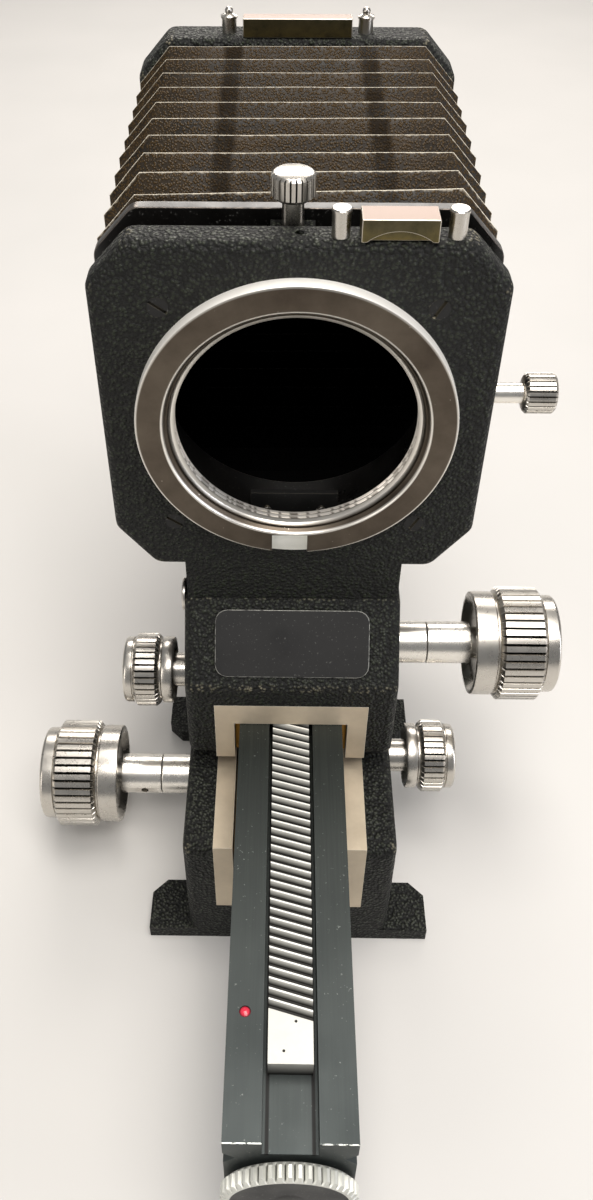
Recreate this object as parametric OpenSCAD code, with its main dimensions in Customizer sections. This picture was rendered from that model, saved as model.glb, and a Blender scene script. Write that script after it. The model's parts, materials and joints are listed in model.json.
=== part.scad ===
// Macro bellows unit for 42 mm screw lenses: two standards joined by a pleated
// bellows on a rack rail, which slides through a tripod block.
// Origin: centre of the tripod socket on the feet. The lens looks along -Y, +Z is up.

/* [Rail] */
// Width of the rail
rail_w = 20.8; // [19:0.1:21.6]
// Height of the rail
rail_h = 31; // [28:0.5:34]
// Length of the rail
rail_len = 196; // [190:1:230]
// How far the rail's front end lies ahead of the tripod socket
rail_reach = 92.7; // [88:0.1:96]
// Width of the two grooves that hold the racks
groove_w = 8.75; // [8.2:0.05:9.6]
// Depth of the rack grooves
groove_d = 4.3; // [3.6:0.1:5]
// Depth of the V-shaped guide grooves along the rail's sides
vee_d = 2; // [1.4:0.1:2.4]
// Distance of the guide grooves from the rail's top and bottom
vee_inset = 6.3; // [5:0.1:7.5]
// Diameter of the coloured index dot on the rail
dot_d = 1.9; // [1:0.1:3]

/* [Rack and pinion] */
// Width of each rack
rack_w = 7.3; // [6:0.1:8]
// Pitch of the teeth, measured along the rail
tooth_pitch = 1.8; // [1.7:0.05:1.95]
// Slant of the teeth
tooth_slant = 16; // [0:1:20]
// Pressure angle of the teeth
pressure_angle = 25; // [24:1:27]
// Height of a tooth above its pitch line
addendum = 0.5; // [0.4:0.05:0.55]
// Depth of a tooth below its pitch line
dedendum = 0.65; // [0.6:0.05:0.75]
// Play between the flanks of two meshed teeth
backlash = 0.24; // [0.16:0.02:0.3]
// Number of teeth on each pinion, an even number
pinion_teeth = 12; // [12:2:14]
// Distance of the first tooth gap of the upper rack from the rail's front end
top_teeth_inset = 19; // [16:0.5:24]
// Length of the plain end of the upper rack
rack_stub = 8.6; // [6:0.2:12]
// Distance of the upper rack's last tooth gap from the rail's rear end
top_teeth_end = 23; // [21:0.5:40]
// Distance of the lower rack's front end from the rail's front end
bottom_rack_inset = 36; // [30:1:42]
// Distance of the lower rack's rear end from the rail's rear end
bottom_rack_end = 28; // [20:1:40]

/* [Front standard] */
// Height of the stems between the carriages' shoulders and the standards
stem_h = 8.05; // [6:0.05:14]
// Distance of the stems' sides inside the carriages' walls
stem_inset = 0.75; // [0.3:0.05:1.5]
// Half the width of the front standard
standard_half = 32.95; // [32:0.05:34]
// Height of the front standard above the lens axis
standard_up = 32.6; // [32:0.1:34]
// Reach of the front standard below the lens axis
standard_down = 33; // [32:0.1:34]
// Thickness of the front standard
standard_t = 6.85; // [6.4:0.05:8]
// Distance of the front standard's face ahead of the tripod socket
standard_reach = 2.24; // [1:0.02:6]
// Width and height of the corner cuts at the top of both standards
top_cut = [6.7, 7.3]; // [5:0.1:9]
// Width and height of the corner cuts at the bottom of both standards
bottom_cut = [7, 9.2]; // [5:0.1:10]
// Rounding of the cast edges
cast_edge = 1.8; // [0.8:0.1:2.2]
// Rounding of the cast corners
cast_corner = 3; // [2.4:0.1:4]

/* [Carriages] */
// Half the width of both carriages
carriage_half = 21.2; // [20:0.1:23]
// Length of the front carriage
carriage_len = 39.4; // [37:0.1:42]
// Distance of the front carriage's face ahead of the standard's face
carriage_nose = 11.48; // [9:0.02:13]
// Height of the front carriage's straight walls
carriage_wall = 21.9; // [20.5:0.1:24]
// Height of the sloping shoulders of the front carriage
shoulder_h = 14.3; // [12:0.1:15]
// Distance between the upper carriages and the tripod block
block_gap = 4.5; // [3:0.1:6]
// Half the width of the bare metal liners
liner_half = 15.5; // [14.6:0.1:16.5]
// Half the width of the channel inside the liners
channel_half = 11.5; // [11.2:0.1:12]
// Thickness of the bar over the rail in the upper liners
upper_bar = 5.75; // [5.4:0.05:7]
// Distance of the guide strips from the ends of their carriage
gib_inset = 2; // [1:0.5:5]
// Half the height of the guide strips
gib_half = 4.2; // [3:0.1:4.5]
// Length of the rear carriage
rear_carriage_len = 24; // [20:0.5:26]

/* [Tripod block] */
// Half the width of the tripod block
block_half = 21.75; // [21:0.05:23]
// Length of the tripod block
block_len = 66; // [60:1:70]
// Height of the tripod block
block_h = 36.25; // [34:0.05:38]
// Height of the solid metal under the block's liner
block_floor = 13.7; // [13:0.1:15]
// Thickness of the bar under the rail in the block's liner
lower_bar = 7; // [6.6:0.1:8]
// Reach of the feet beyond the block's walls
foot_reach = 8.95; // [6:0.05:12]
// Length of each foot along the rail
foot_len = 11.8; // [8:0.1:16]
// Thickness of the feet
foot_t = 3.7; // [3:0.1:5]
// Corner cut on the inner end of each foot
foot_cut = 3.2; // [2:0.1:4]
// Minor radius of the quarter-inch tripod thread
socket_r = 2.55; // [2.4:0.05:3.2]
// Outer radius of the tripod bush
tripod_bush_r = 4.75; // [4.2:0.05:6]
// Depth of the tripod bush
tripod_bush_d = 9; // [7:0.1:10]

/* [Lens ring] */
// Outer radius of the lens ring
ring_r = 27; // [26.4:0.1:28]
// Distance of the ring's front face ahead of the standard
ring_proud = 2.56; // [2:0.02:3.5]
// Radius of the inner edge of the ring's flat face
ring_face_r = 22.48; // [22:0.02:23]
// Minor radius of the M42x1 lens thread
thread_r = 20.5; // [20:0.05:21]
// Depth of the bevel that leads into the thread
ring_bevel = 2; // [1.4:0.1:2.2]
// Depth of the whole ring, with its spigot
ring_depth = 4.2; // [4:0.1:4.4]
// Radius of the ring's spigot inside the standard
ring_spigot_r = 24; // [23.9:0.05:24.6]
// Width of the notch at the foot of the ring
notch_w = 6.4; // [4:0.1:8]
// Depth of the notch at the foot of the ring
notch_d = 0.9; // [0.4:0.1:1.2]
// Distance of the face screws from the lens axis, across and up
face_screw_at = 21.8; // [21.6:0.1:22.6]
// Radius of the heads of the face screws
face_screw_r = 1.75; // [1.3:0.05:1.9]

/* [Bellows] */
// Distance from the front standard to the bellows' front plate
plate_gap = 4.8; // [4.4:0.1:6]
// Thickness of the bellows' front plate
plate_t = 2.3; // [1.6:0.1:3]
// Number of pleats
pleats = 10; // [8:1:12]
// Depth of the pleats
pleat_d = 5.5; // [4:0.1:7]
// Thickness of the bellows cloth
cloth_t = 0.9; // [0.6:0.1:1.2]
// Radius of the clear opening through the standards
opening_r = 23.5; // [23.3:0.05:23.7]
// Outer radius of the bellows' front spigot
spigot_r = 26; // [25.4:0.1:26.4]
// Depth of the counterbore that holds the spigot
spigot_d = 3.9; // [3.2:0.1:4.2]

/* [Rear standard] */
// Half the width of the rear standard
rear_half = 33.65; // [32.8:0.05:35]
// Height of the rear standard above the lens axis
rear_up = 33.7; // [33:0.1:35]
// Thickness of the rear standard
rear_t = 10.2; // [8.4:0.1:11]
// Distance of the rear standard's back from the rail's rear end
rear_inset = 6.89; // [5.5:0.01:9.5]
// Radius of the camera ring
camera_ring_r = 28; // [26:0.1:30]
// Thickness of the camera ring
camera_ring_t = 3.5; // [2.5:0.1:5]
// Outer radius of the M42x1 camera thread
camera_thread_r = 21; // [20.6:0.05:21.4]
// Length of the camera thread
camera_thread_len = 4; // [3:0.1:5]
// Radius of the bore through the camera ring
camera_bore_r = 19.5; // [18.5:0.1:19.8]

/* [Drive knobs] */
// Radius of the plain disc of the drive knobs
drive_disc_r = 11.1; // [10:0.1:12]
// Radius of the knurled part of the drive knobs
drive_knurl_r = 12.1; // [11.4:0.1:13]
// Radius of the cap of the drive knobs
drive_cap_r = 10.4; // [9.4:0.1:11.2]
// Thickness of the disc of the drive knobs
drive_disc_t = 4.8; // [3:0.1:6]
// Length of the knurled part of the drive knobs
drive_knurl_t = 9.7; // [7:0.1:12]
// Thickness of the cap of the drive knobs
drive_cap_t = 3.1; // [2:0.1:4]
// Radius of the outer end of the drive shafts and of their bushes
drive_neck_r = 4.5; // [4:0.1:5]
// Reach of the drive bushes beyond the wall
drive_bush_len = 7.6; // [5:0.1:9]
// Length of the neck between bush and drive knob
drive_neck_len = 9.3; // [6:0.1:12]
// Radius of the drive shafts inside the carriages
shaft_r = 2.5; // [2.2:0.05:2.6]
// Place of the front drive shaft along the rail
front_drive_y = 6.8; // [4:0.1:9]
// Place of the block's drive shaft along the rail
block_drive_y = -1.8; // [-6:0.1:6]

/* [Lock knobs] */
// Radius of the plain disc of the lock knobs
lock_disc_r = 7.3; // [6.4:0.1:8]
// Radius of the knurled part of the lock knobs
lock_knurl_r = 8.05; // [7.4:0.05:8.6]
// Radius of the cap of the lock knobs
lock_cap_r = 7.2; // [6:0.1:7.8]
// Thickness of the disc of the lock knobs
lock_disc_t = 2.9; // [2:0.1:4]
// Length of the knurled part of the lock knobs
lock_knurl_t = 5.9; // [4:0.1:8]
// Thickness of the cap of the lock knobs
lock_cap_t = 2.1; // [1.5:0.1:3]
// Radius of the neck of the lock knobs
lock_neck_r = 3.7; // [3:0.1:4.4]
// Length of the neck of the lock knobs
lock_neck_len = 4.2; // [3:0.1:6]
// Radius of the lock screws
lock_screw_r = 2; // [1.5:0.1:2.4]
// Place of the front lock screw along the rail
front_lock_y = 6.3; // [3:0.1:9]
// Place of the block's lock screw along the rail
block_lock_y = -1.8; // [-8:0.1:8]
// Height of the block's lock screw above the rail's bottom
block_lock_up = 5.2; // [4.6:0.1:8]

/* [Small controls] */
// Radius of the small shafts of the thumbscrew and the plunger
pin_r = 1.72; // [1.3:0.02:1.9]
// Radius of the knurled heads of the thumbscrew and the plunger
head_r = 3.4; // [2.8:0.1:4]
// Length of the plunger's head
plunger_head_len = 5.4; // [4:0.1:7]
// Bare length of the plunger's shaft
plunger_neck_len = 4.85; // [4.4:0.05:6]
// Travel of the plunger
plunger_travel = 3.5; // [2.5:0.1:3.8]
// Height of the plunger above the lens axis
plunger_up = 4.4; // [-6:0.1:8]
// Height of the thumbscrew's head
thumb_head_h = 4.2; // [3:0.1:6]
// Distance between the thumbscrew's head and the standard's top
thumb_neck_h = 2.7; // [1:0.1:4]
// Place of the thumbscrew across the standard
thumb_x = -1; // [-4:0.1:4]
// Travel of the diaphragm pusher
pusher_travel = 1.8; // [1:0.1:1.9]
// Travel of the button that frees the camera ring
button_travel = 1.5; // [1:0.1:2]
// Radius of the end discs
end_disc_r = 11; // [9:0.1:13]
// Thickness of the end discs
end_disc_t = 3; // [2:0.1:4]

/* [Top fittings] */
// Width, depth and height of the block on the front standard
front_shoe = [11.5, 4.8, 3.6]; // [3:0.1:16]
// Place of the middle of that block across the standard
front_shoe_x = 14.75; // [12:0.05:16]
// Distance between that block and the two posts beside it
post_gap = 1.5; // [1:0.1:2]
// Radius of the front posts
front_post_r = 1.4; // [1:0.1:2]
// Height of the front posts
front_post_h = 4.4; // [3:0.1:6]
// Width, depth and height of the block on the rear standard
rear_shoe = [22.6, 3.4, 3.7]; // [3:0.1:26]
// Radius of the collars of the rear posts
rear_post_r = 1.75; // [1.2:0.05:2.2]
// Height of the rear posts
rear_post_h = 4.9; // [4:0.1:7]
// Width and height of the blank nameplate
nameplate = [30.2, 13.3]; // [8:0.1:34]

/* [Fits] */
// Clearance between pieces that slide or turn on each other
run = 0.05; // [0.03:0.01:0.08]

/* [Hidden] */
$fn = 64;

CRINKLE = [0.13, 0.13, 0.12];
SATIN_BLACK = [0.07, 0.07, 0.08];
BARE = [0.80, 0.76, 0.68];
CHROME = [0.78, 0.77, 0.75];
STEEL = [0.60, 0.60, 0.60];
BRASS = [0.72, 0.60, 0.34];
RED = [0.80, 0.08, 0.10];
LEATHERETTE = [0.09, 0.09, 0.09];

over = 1;                 // how far a cut runs past the solid it cuts
gap = 0.3;                // clear space between pieces that stay apart
blind_gap = 0.4;          // space left at the bottom of a blind hole
corner_steps = 4;         // flats in a rounded corner
edge_steps = 3;           // flats in a rounded edge
coil_steps = 10;          // straight stretches in one turn of a spring

// Heights, from the feet up
rail_z = block_floor + lower_bar + run;
rail_top = rail_z + rail_h;
rail_mid = rail_z + rail_h / 2;
carriage_z = block_h + block_gap;
upper_bar_z = rail_top + run;
upper_liner_top = upper_bar_z + upper_bar;
shoulder_z = carriage_z + carriage_wall;
shoulder_top = shoulder_z + shoulder_h;

lens_height = shoulder_top + stem_h + standard_down;
stem_half = carriage_half - stem_inset;

// Places along the rail
front_end = -rail_reach;
rear_end = rail_len - rail_reach;
standard_front = -standard_reach;
standard_back = standard_front + standard_t;
carriage_front = standard_front - carriage_nose;
carriage_back = carriage_front + carriage_len;
plate_front = standard_back + plate_gap;
plate_back = plate_front + plate_t;
rear_back = rear_end - rear_inset;
rear_front = rear_back - rear_t;
bellows_len = rear_front - plate_back;
rear_carriage_front = rear_end - rear_carriage_len;
block_front = -block_len / 2;
block_back = block_len / 2;
ring_front = standard_front - ring_proud;
ring_back = ring_front + ring_depth;
spigot_seat = standard_back - spigot_d;

// Gears: an involute pinion on a straight rack, both slanted alike
pinion_r = pinion_teeth * tooth_pitch / (2 * PI);
base_r = pinion_r * cos(pressure_angle);
tip_r = pinion_r + addendum;
root_r = pinion_r - dedendum;
pinion_wall = 0.75;
pinion_bore = root_r - pinion_wall;
pinion_w = rack_w - gap;
pinion_twist = tan(tooth_slant) * pinion_w / pinion_r * 180 / PI;
front_drive_z = rail_top - addendum + pinion_r;
block_drive_z = rail_z + addendum - pinion_r;
pocket_half = rack_w / 2 + gap;
pocket_r = tip_r + gap;

// First and last tooth gap of each rack, counted from its drive shaft
top_teeth_len = rail_len - top_teeth_inset - top_teeth_end;
top_first = ceil((front_end + top_teeth_inset - front_drive_y) / tooth_pitch);
top_last = top_first + floor(top_teeth_len / tooth_pitch);
top_rack_front = front_drive_y + top_first * tooth_pitch - rack_stub;
top_rack_back = front_drive_y + (top_last + 1) * tooth_pitch;
bottom_rack_front = front_end + bottom_rack_inset;
bottom_rack_back = rear_end - bottom_rack_end;
bottom_first = floor((bottom_rack_front - block_drive_y) / tooth_pitch) - 2;
bottom_last = ceil((bottom_rack_back - block_drive_y) / tooth_pitch) + 2;

// Dowels that hold the racks
rack_pin_r = 1;
rack_pin_seat = 3;
rack_pin_skin = 0.8;

// Drive shafts, measured outwards from the rail's centre plane
journal_len = 5;
drive_spigot_r = 3.4;
drive_spigot_bore = 6;

// Knobs: the lip and the slope of the dished disc, the turned edges, the metal
// round the bore and the flare of the block's lock knob at its wall
knob_lip = 1.2;
knob_slope = 1.2;
knob_edge = 0.5;
knob_wall = 1;
knob_flare = 1.1;
drive_knurl_d = 0.7;
lock_knurl_d = 0.6;
head_knurl_d = 0.35;

// Small pieces
lock_tip = channel_half + run;
front_lock_z = rail_top - vee_inset;
block_lock_z = rail_z + block_lock_up;
rear_mid = rear_end - rear_carriage_len / 2;
rear_clamp_r = 4;
rear_clamp_len = 6;
clamp_knurl_d = 0.5;
bush_floor = 1;
stud_r = 2;
stud_len = 12;
hub_r = 5;
hub_t = 0.6;
end_tooth_d = 0.8;
dot_depth = 0.5;
plug_r = 3.3;
plug_t = 0.6;
plug_rise = 0.6;
nameplate_r = 2.4;
plate_skin = 0.5;
frame_t = 1.2;
frame_inset = 1.5;
button_r = 3.25;
button_reach = 3.25;
button_up = 6;
button_stem = 2.4;
rear_standard_y = (rear_front + rear_back) / 2;
camera_spigot_len = 3.6;
camera_ring_edge = 0.6;
ring_edge = 0.4;
notch_x = -0.8;
rear_post_gap = 1.25;
shoe_set = 0.9;
post_cap_lip = 0.12;
post_cap_t = 0.6;
ball_r = 0.85;
ball_neck_r = 0.55;
collar_lip = 0.2;
collar_t = 0.5;
collar_cone = 0.45;
scallop_r = 7.9;
scallop_h = 1.7;
scallop_d = 0.7;
dot_x = -7.47;
dot_inset = 20;
thumb_y = (standard_back + plate_front) / 2;
thumb_boss_half = 3.5;
plunger_y = (standard_front + standard_back) / 2;
plunger_bore_end = spigot_r + gap;

// Slotted countersunk face screws
face_screw_shank = 0.9;
face_screw_head = 1;
face_screw_len = 4;
face_slot_w = 0.5;
face_slot_d = 0.45;

// Diaphragm pusher: a plate behind the ring on two pins that end in the ring
pusher_t = 1.2;
pusher_w = 16;
pusher_h = 5.1;
pusher_pin_r = 0.6;
pusher_pin_x = 5;
pusher_pin_down = 21.9;
pusher_pin_skin = 0.5;
pusher_y = ring_back + pusher_travel + 0.8;

// Return springs: radius of the coil's centre line and of its wire, and turns
pusher_coil = [0.8, 0.13];
pusher_turns = 2.5;
button_coil = [1.7, 0.2];
button_turns = 4;
button_coil_d = 2.4;

function turned(r, a) = r * [cos(a), sin(a)];
function unit(v) = v / norm(v);
function wrap(p, i) = p[(i + len(p)) % len(p)];

// A convex outline moved inwards by d, with its corners kept sharp
function inset(p, d) = [
    for (i = [0 : len(p) - 1])
        let (u = unit(wrap(p, i) - wrap(p, i - 1)), w = unit(wrap(p, i + 1) - wrap(p, i)))
        let (a = [-u.y, u.x], b = [-w.y, w.x])
        p[i] + d * (a + b) / (1 + a * b)
];

// One corner of an outline as an arc of radius r
function corner(a, b, c, r) =
    let (u = unit(a - b), w = unit(c - b), half = acos(u * w) / 2)
    let (m = b + unit(u + w) * r / sin(half))
    let (s = b + u * r / tan(half) - m, e = b + w * r / tan(half) - m)
    let (start = atan2(s.y, s.x), sweep = (atan2(e.y, e.x) - start + 540) % 360 - 180)
    [for (i = [0 : corner_steps]) m + turned(r, start + sweep * i / corner_steps)];

// A convex outline with all its corners rounded
function rounded(p, r) = [
    for (i = [0 : len(p) - 1]) each corner(wrap(p, i - 1), p[i], wrap(p, i + 1), r)
];

// The eight-cornered outline that both standards and the bellows share
function octagon(half, up, down) = [
    [half, bottom_cut.y - down], [half, up - top_cut.y],
    [half - top_cut.x, up], [top_cut.x - half, up],
    [-half, up - top_cut.y], [-half, bottom_cut.y - down],
    [bottom_cut.x - half, -down], [half - bottom_cut.x, -down]
];

// A convex outline in X and Z, from y0 to y1
module along_y(y0, y1) {
    translate([0, y1, 0]) rotate([90, 0, 0]) linear_extrude(y1 - y0) children();
}

// A convex outline in Y and Z, from x0 to x1
module along_x(x0, x1) {
    translate([x0, 0, 0]) rotate([90, 0, 90]) linear_extrude(x1 - x0) children();
}

// A convex outline as a slab with rounded corners and rounded edges on both faces
module cast_slab(outline, h) {
    function level(a, z) = [
        for (p = rounded(inset(outline, cast_edge * (1 - sin(a))), cast_corner - cast_edge * (1 - sin(a))))
            [p.x, p.y, z]
    ];
    function rise(a) = cast_edge * (1 - cos(a));
    angles = [for (i = [0 : edge_steps]) 90 * i / edge_steps];
    points = [
        for (i = [0 : edge_steps]) each level(angles[i], rise(angles[i])),
        for (i = [edge_steps : -1 : 0]) each level(angles[i], h - rise(angles[i]))
    ];
    n = len(outline) * (corner_steps + 1);
    last = 2 * edge_steps + 1;
    faces = [
        [for (k = [0 : n - 1]) k],
        [for (k = [n - 1 : -1 : 0]) last * n + k],
        for (i = [0 : last - 1], k = [0 : n - 1])
            let (a = i * n, b = a + n, next = (k + 1) % n)
            each [[a + k, b + k, b + next], [a + k, b + next, a + next]]
    ];
    polyhedron(points, faces);
}

// A cylinder along +X from x0 to x1
module rod_x(x0, x1, r, y, z) {
    translate([x0, y, z]) rotate([0, 90, 0]) cylinder(r = r, h = x1 - x0);
}

// A cylinder along +Y from y0 to y1
module rod_y(y0, y1, r, x, z) {
    translate([x, y0, z]) rotate([-90, 0, 0]) cylinder(r = r, h = y1 - y0);
}

// Turns a piece modelled along +Z so that it points along +X or -X
module point_x(side, x, y, z) {
    translate([side * x, y, z]) rotate([0, side * 90, 0]) children();
}

// A knurled cylinder with bevelled ends
module knurl(r, h, teeth, depth) {
    bevel = 0.7 * depth;
    step = 360 / teeth;
    outline = [
        for (i = [0 : teeth - 1])
            each [turned(r, (i - 0.28) * step), turned(r, (i + 0.28) * step),
                turned(r - depth, (i + 0.5) * step)]
    ];
    intersection() {
        linear_extrude(h) polygon(outline);
        rotate_extrude()
            polygon([[0, 0], [r - bevel, 0], [r, bevel], [r, h - bevel], [r - bevel, h], [0, h]]);
    }
}

// A turned knob: neck, dished disc, knurled grip and cap, with a blind hole for its shaft
module knob(neck, disc, grip, cap, teeth, bore_r, bore_len) {
    dish = disc[1] * 0.3;
    rim = knob_edge;
    z1 = neck[1] + disc[1];
    z2 = z1 + grip[1];
    inner = max(neck[0], bore_r + knob_wall);
    difference() {
        union() {
            if (neck[1] > 0) cylinder(r1 = neck[2], r2 = neck[0], h = neck[1] + dish);
            translate([0, 0, neck[1]]) rotate_extrude() polygon([
                [0, dish], [inner, dish], [disc[0] - knob_lip - knob_slope, dish],
                [disc[0] - knob_lip, 0],
                [disc[0] - rim, 0], [disc[0], rim], [disc[0], disc[1]], [0, disc[1]]
            ]);
            translate([0, 0, z1]) knurl(grip[0], grip[1], teeth, grip[2]);
            translate([0, 0, z2]) rotate_extrude() polygon([
                [0, -rim], [cap[0], -rim], [cap[0], cap[1] - rim], [cap[0] - rim, cap[1]],
                [0, cap[1]]
            ]);
        }
        translate([0, 0, -over]) cylinder(r = bore_r, h = bore_len + over);
    }
}

// The drive knobs
module drive_knob() {
    knob([drive_spigot_r, 0, drive_spigot_r], [drive_disc_r, drive_disc_t],
        [drive_knurl_r, drive_knurl_t, drive_knurl_d], [drive_cap_r, drive_cap_t], 44,
        drive_spigot_r, drive_spigot_bore);
}

// The lock knobs; foot_r is the radius of the neck at the wall
module lock_knob(foot_r) {
    knob([lock_neck_r, lock_neck_len, foot_r], [lock_disc_r, lock_disc_t],
        [lock_knurl_r, lock_knurl_t, lock_knurl_d], [lock_cap_r, lock_cap_t], 36,
        lock_screw_r, lock_neck_len + lock_disc_t);
}

// Cross-section of a U-shaped liner: bar_z is the bar's outer face, legs reach to leg_z
module liner_section(bar_z, inner_z, leg_z) {
    difference() {
        polygon([[-liner_half, bar_z], [liner_half, bar_z], [liner_half, leg_z], [-liner_half, leg_z]]);
        polygon([
            [-channel_half, inner_z], [channel_half, inner_z],
            [channel_half, leg_z + sign(leg_z - bar_z) * over],
            [-channel_half, leg_z + sign(leg_z - bar_z) * over]
        ]);
    }
}

// Cross-section of the right-hand guide strip at height z
module gib_section(z) {
    outer = channel_half;
    inner = rail_w / 2 + run;
    ease = run * sqrt(2);
    tip = rail_w / 2 - vee_d + ease;
    polygon([
        [outer, z - gib_half], [outer, z + gib_half], [inner, z + gib_half],
        [inner, z + inner - tip], [tip, z], [inner, z - inner + tip], [inner, z - gib_half]
    ]);
}

// Both guide strips of a carriage
module gibs(y0, y1, z) {
    for (side = [0, 1])
        mirror([side, 0, 0]) along_y(y0 + gib_inset, y1 - gib_inset) gib_section(z);
}

// One slanted rack with its teeth up; first is the first gap, counted from the drive shaft
module rack(y0, y1, drive_y, first, last) {
    lean = cos(tooth_slant);
    gap_pitch = (tooth_pitch / 2 + backlash / 2) * lean;
    slope = tan(pressure_angle);
    gap_tip = gap_pitch / 2 + addendum * slope;
    gap_root = gap_pitch / 2 - dedendum * slope;
    root_z = -addendum - dedendum;
    far = (y1 - y0) + 2 * rack_w;
    reach = rack_w + far * sin(tooth_slant);
    outline = [
        [-far, -groove_d], [far, -groove_d], [far, 0],
        for (i = [last : -1 : first])
            let (c = i * tooth_pitch * lean)
            each [[c + gap_tip, 0], [c + gap_root, root_z], [c - gap_root, root_z], [c - gap_tip, 0]],
        [-far, 0]
    ];
    intersection() {
        translate([-rack_w / 2, y0, -groove_d - over])
            cube([rack_w, y1 - y0, groove_d + 2 * over]);
        translate([0, drive_y, 0]) rotate([0, 0, -tooth_slant])
            along_x(-reach, reach) polygon(outline);
    }
}

// Involute tooth: half its angle at radius r, in degrees
function involute(a) = tan(a) * 180 / PI - a;
function half_tooth(r) =
    (tooth_pitch / 2 - backlash / 2) / (2 * pinion_r) * 180 / PI
    + involute(pressure_angle) - involute(acos(min(1, base_r / r)));

// One pinion, its axis along X, with a tooth pointing straight up and one straight down
module pinion(y, z) {
    flank = [root_r, base_r, (base_r + tip_r) / 2, tip_r];
    outline = [
        for (k = [0 : pinion_teeth - 1])
            let (c = k * 360 / pinion_teeth)
            each [
                for (r = flank) turned(r, c - half_tooth(r)),
                for (i = [len(flank) - 1 : -1 : 0]) turned(flank[i], c + half_tooth(flank[i]))
            ]
    ];
    translate([-pinion_w / 2, y, z]) rotate([0, 90, 0]) difference() {
        rotate([0, 0, pinion_twist / 2])
            linear_extrude(pinion_w, twist = pinion_twist, slices = 4) polygon(outline);
        translate([0, 0, -over]) cylinder(r = pinion_bore, h = pinion_w + 2 * over);
    }
}

// One drive shaft, pointing to the given side, from its inner journal to its knob
module drive_shaft(side, wall, y, z) {
    inner = pocket_half + journal_len;
    neck = wall + drive_bush_len + run;
    point_x(side, 0, y, z) {
        translate([0, 0, -inner]) cylinder(r = pinion_bore, h = inner + pinion_w / 2);
        translate([0, 0, pinion_w / 2]) cylinder(r = shaft_r, h = neck - pinion_w / 2);
        translate([0, 0, neck]) cylinder(r = drive_neck_r, h = drive_neck_len);
        translate([0, 0, neck + drive_neck_len])
            cylinder(r = drive_spigot_r, h = drive_spigot_bore - blind_gap);
    }
}

// The holes that a drive shaft and its pinion need in a carriage or liner
module drive_holes(side, wall, y, z) {
    point_x(side, 0, y, z) {
        translate([0, 0, -pocket_half - journal_len - blind_gap])
            cylinder(r = pinion_bore + run, h = journal_len + over);
        translate([0, 0, -pocket_half]) cylinder(r = pocket_r, h = 2 * pocket_half);
        cylinder(r = shaft_r + run, h = wall);
    }
}

// One flanged bush that carries a drive shaft in the wall
module drive_bush(side, wall, y, z) {
    seat = wall - liner_half;
    point_x(side, wall, y, z) difference() {
        union() {
            translate([0, 0, -seat]) cylinder(r = drive_spigot_r, h = seat + over);
            cylinder(r = drive_neck_r, h = drive_bush_len);
        }
        translate([0, 0, -seat - over])
            cylinder(r = shaft_r + run, h = seat + drive_bush_len + 2 * over);
    }
}

module drive_bush_seat(side, wall, y, z) {
    seat = wall - liner_half;
    point_x(side, wall, y, z)
        translate([0, 0, -seat]) cylinder(r = drive_spigot_r, h = seat + over);
}

// One lock screw, from the guide strip out into its knob
module lock_screw(side, wall, y, z) {
    point_x(side, lock_tip, y, z)
        cylinder(r = lock_screw_r, h = wall - lock_tip + lock_neck_len + lock_disc_t - blind_gap);
}

module lock_hole(side, wall, y, z) {
    point_x(side, channel_half - over, y, z)
        cylinder(r = lock_screw_r + run, h = wall - channel_half + 2 * over);
}

// Moves a piece from the lens axis at y to its place, its own +Z pointing backwards
module on_axis(y) {
    translate([0, y, lens_height]) rotate([-90, 0, 0]) children();
}

// ---- tripod block ----

module tripod_block() {
    foot_x = block_half + foot_reach;
    color(CRINKLE) difference() {
        union() {
            translate([-block_half, 0, 0]) rotate([90, 0, 90]) cast_slab([
                [block_front, 0], [block_back, 0], [block_back, block_h], [block_front, block_h]
            ], 2 * block_half);
            for (side = [0, 1], end = [0, 1])
                mirror([side, 0, 0]) mirror([0, end, 0]) linear_extrude(foot_t) polygon([
                    [0, block_front], [foot_x, block_front],
                    [foot_x, block_front + foot_len - foot_cut],
                    [foot_x - foot_cut, block_front + foot_len], [0, block_front + foot_len]
                ]);
            translate([-block_half + cast_edge, block_front, 0])
                cube([2 * (block_half - cast_edge), block_len, cast_edge + foot_t]);
        }
        translate([-liner_half, block_front - over, block_floor])
            cube([2 * liner_half, block_len + 2 * over, block_h]);
        translate([0, 0, -over]) cylinder(r = tripod_bush_r, h = tripod_bush_d + over);
        drive_holes(-1, block_half - over, block_drive_y, block_drive_z);
        drive_bush_seat(-1, block_half, block_drive_y, block_drive_z);
        lock_hole(1, block_half, block_lock_y, block_lock_z);
    }
}

module block_liner() {
    color(BARE) difference() {
        along_y(block_front, block_back) liner_section(block_floor, rail_z - run, block_h);
        drive_holes(-1, liner_half + over, block_drive_y, block_drive_z);
        lock_hole(1, block_half, block_lock_y, block_lock_z);
    }
}

module block_gibs() {
    color(BRASS) gibs(block_front, block_back, rail_z + vee_inset);
}

module tripod_bush() {
    color(STEEL) difference() {
        cylinder(r = tripod_bush_r, h = tripod_bush_d);
        translate([0, 0, -over]) cylinder(r = socket_r, h = tripod_bush_d - bush_floor + over);
    }
}

module block_drive_bush() {
    color(CHROME) drive_bush(-1, block_half, block_drive_y, block_drive_z);
}

module block_drive_shaft() {
    color(CHROME) drive_shaft(-1, block_half, block_drive_y, block_drive_z);
}

module block_pinion() {
    color(STEEL) pinion(block_drive_y, block_drive_z);
}

module block_drive_knob() {
    color(CHROME)
        point_x(-1, block_half + drive_bush_len + run + drive_neck_len, block_drive_y, block_drive_z)
            drive_knob();
}

module block_lock_screw() {
    color(STEEL) lock_screw(1, block_half, block_lock_y, block_lock_z);
}

module block_lock_knob() {
    color(CHROME) point_x(1, block_half + run, block_lock_y, block_lock_z)
        lock_knob(lock_neck_r + knob_flare);
}

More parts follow.
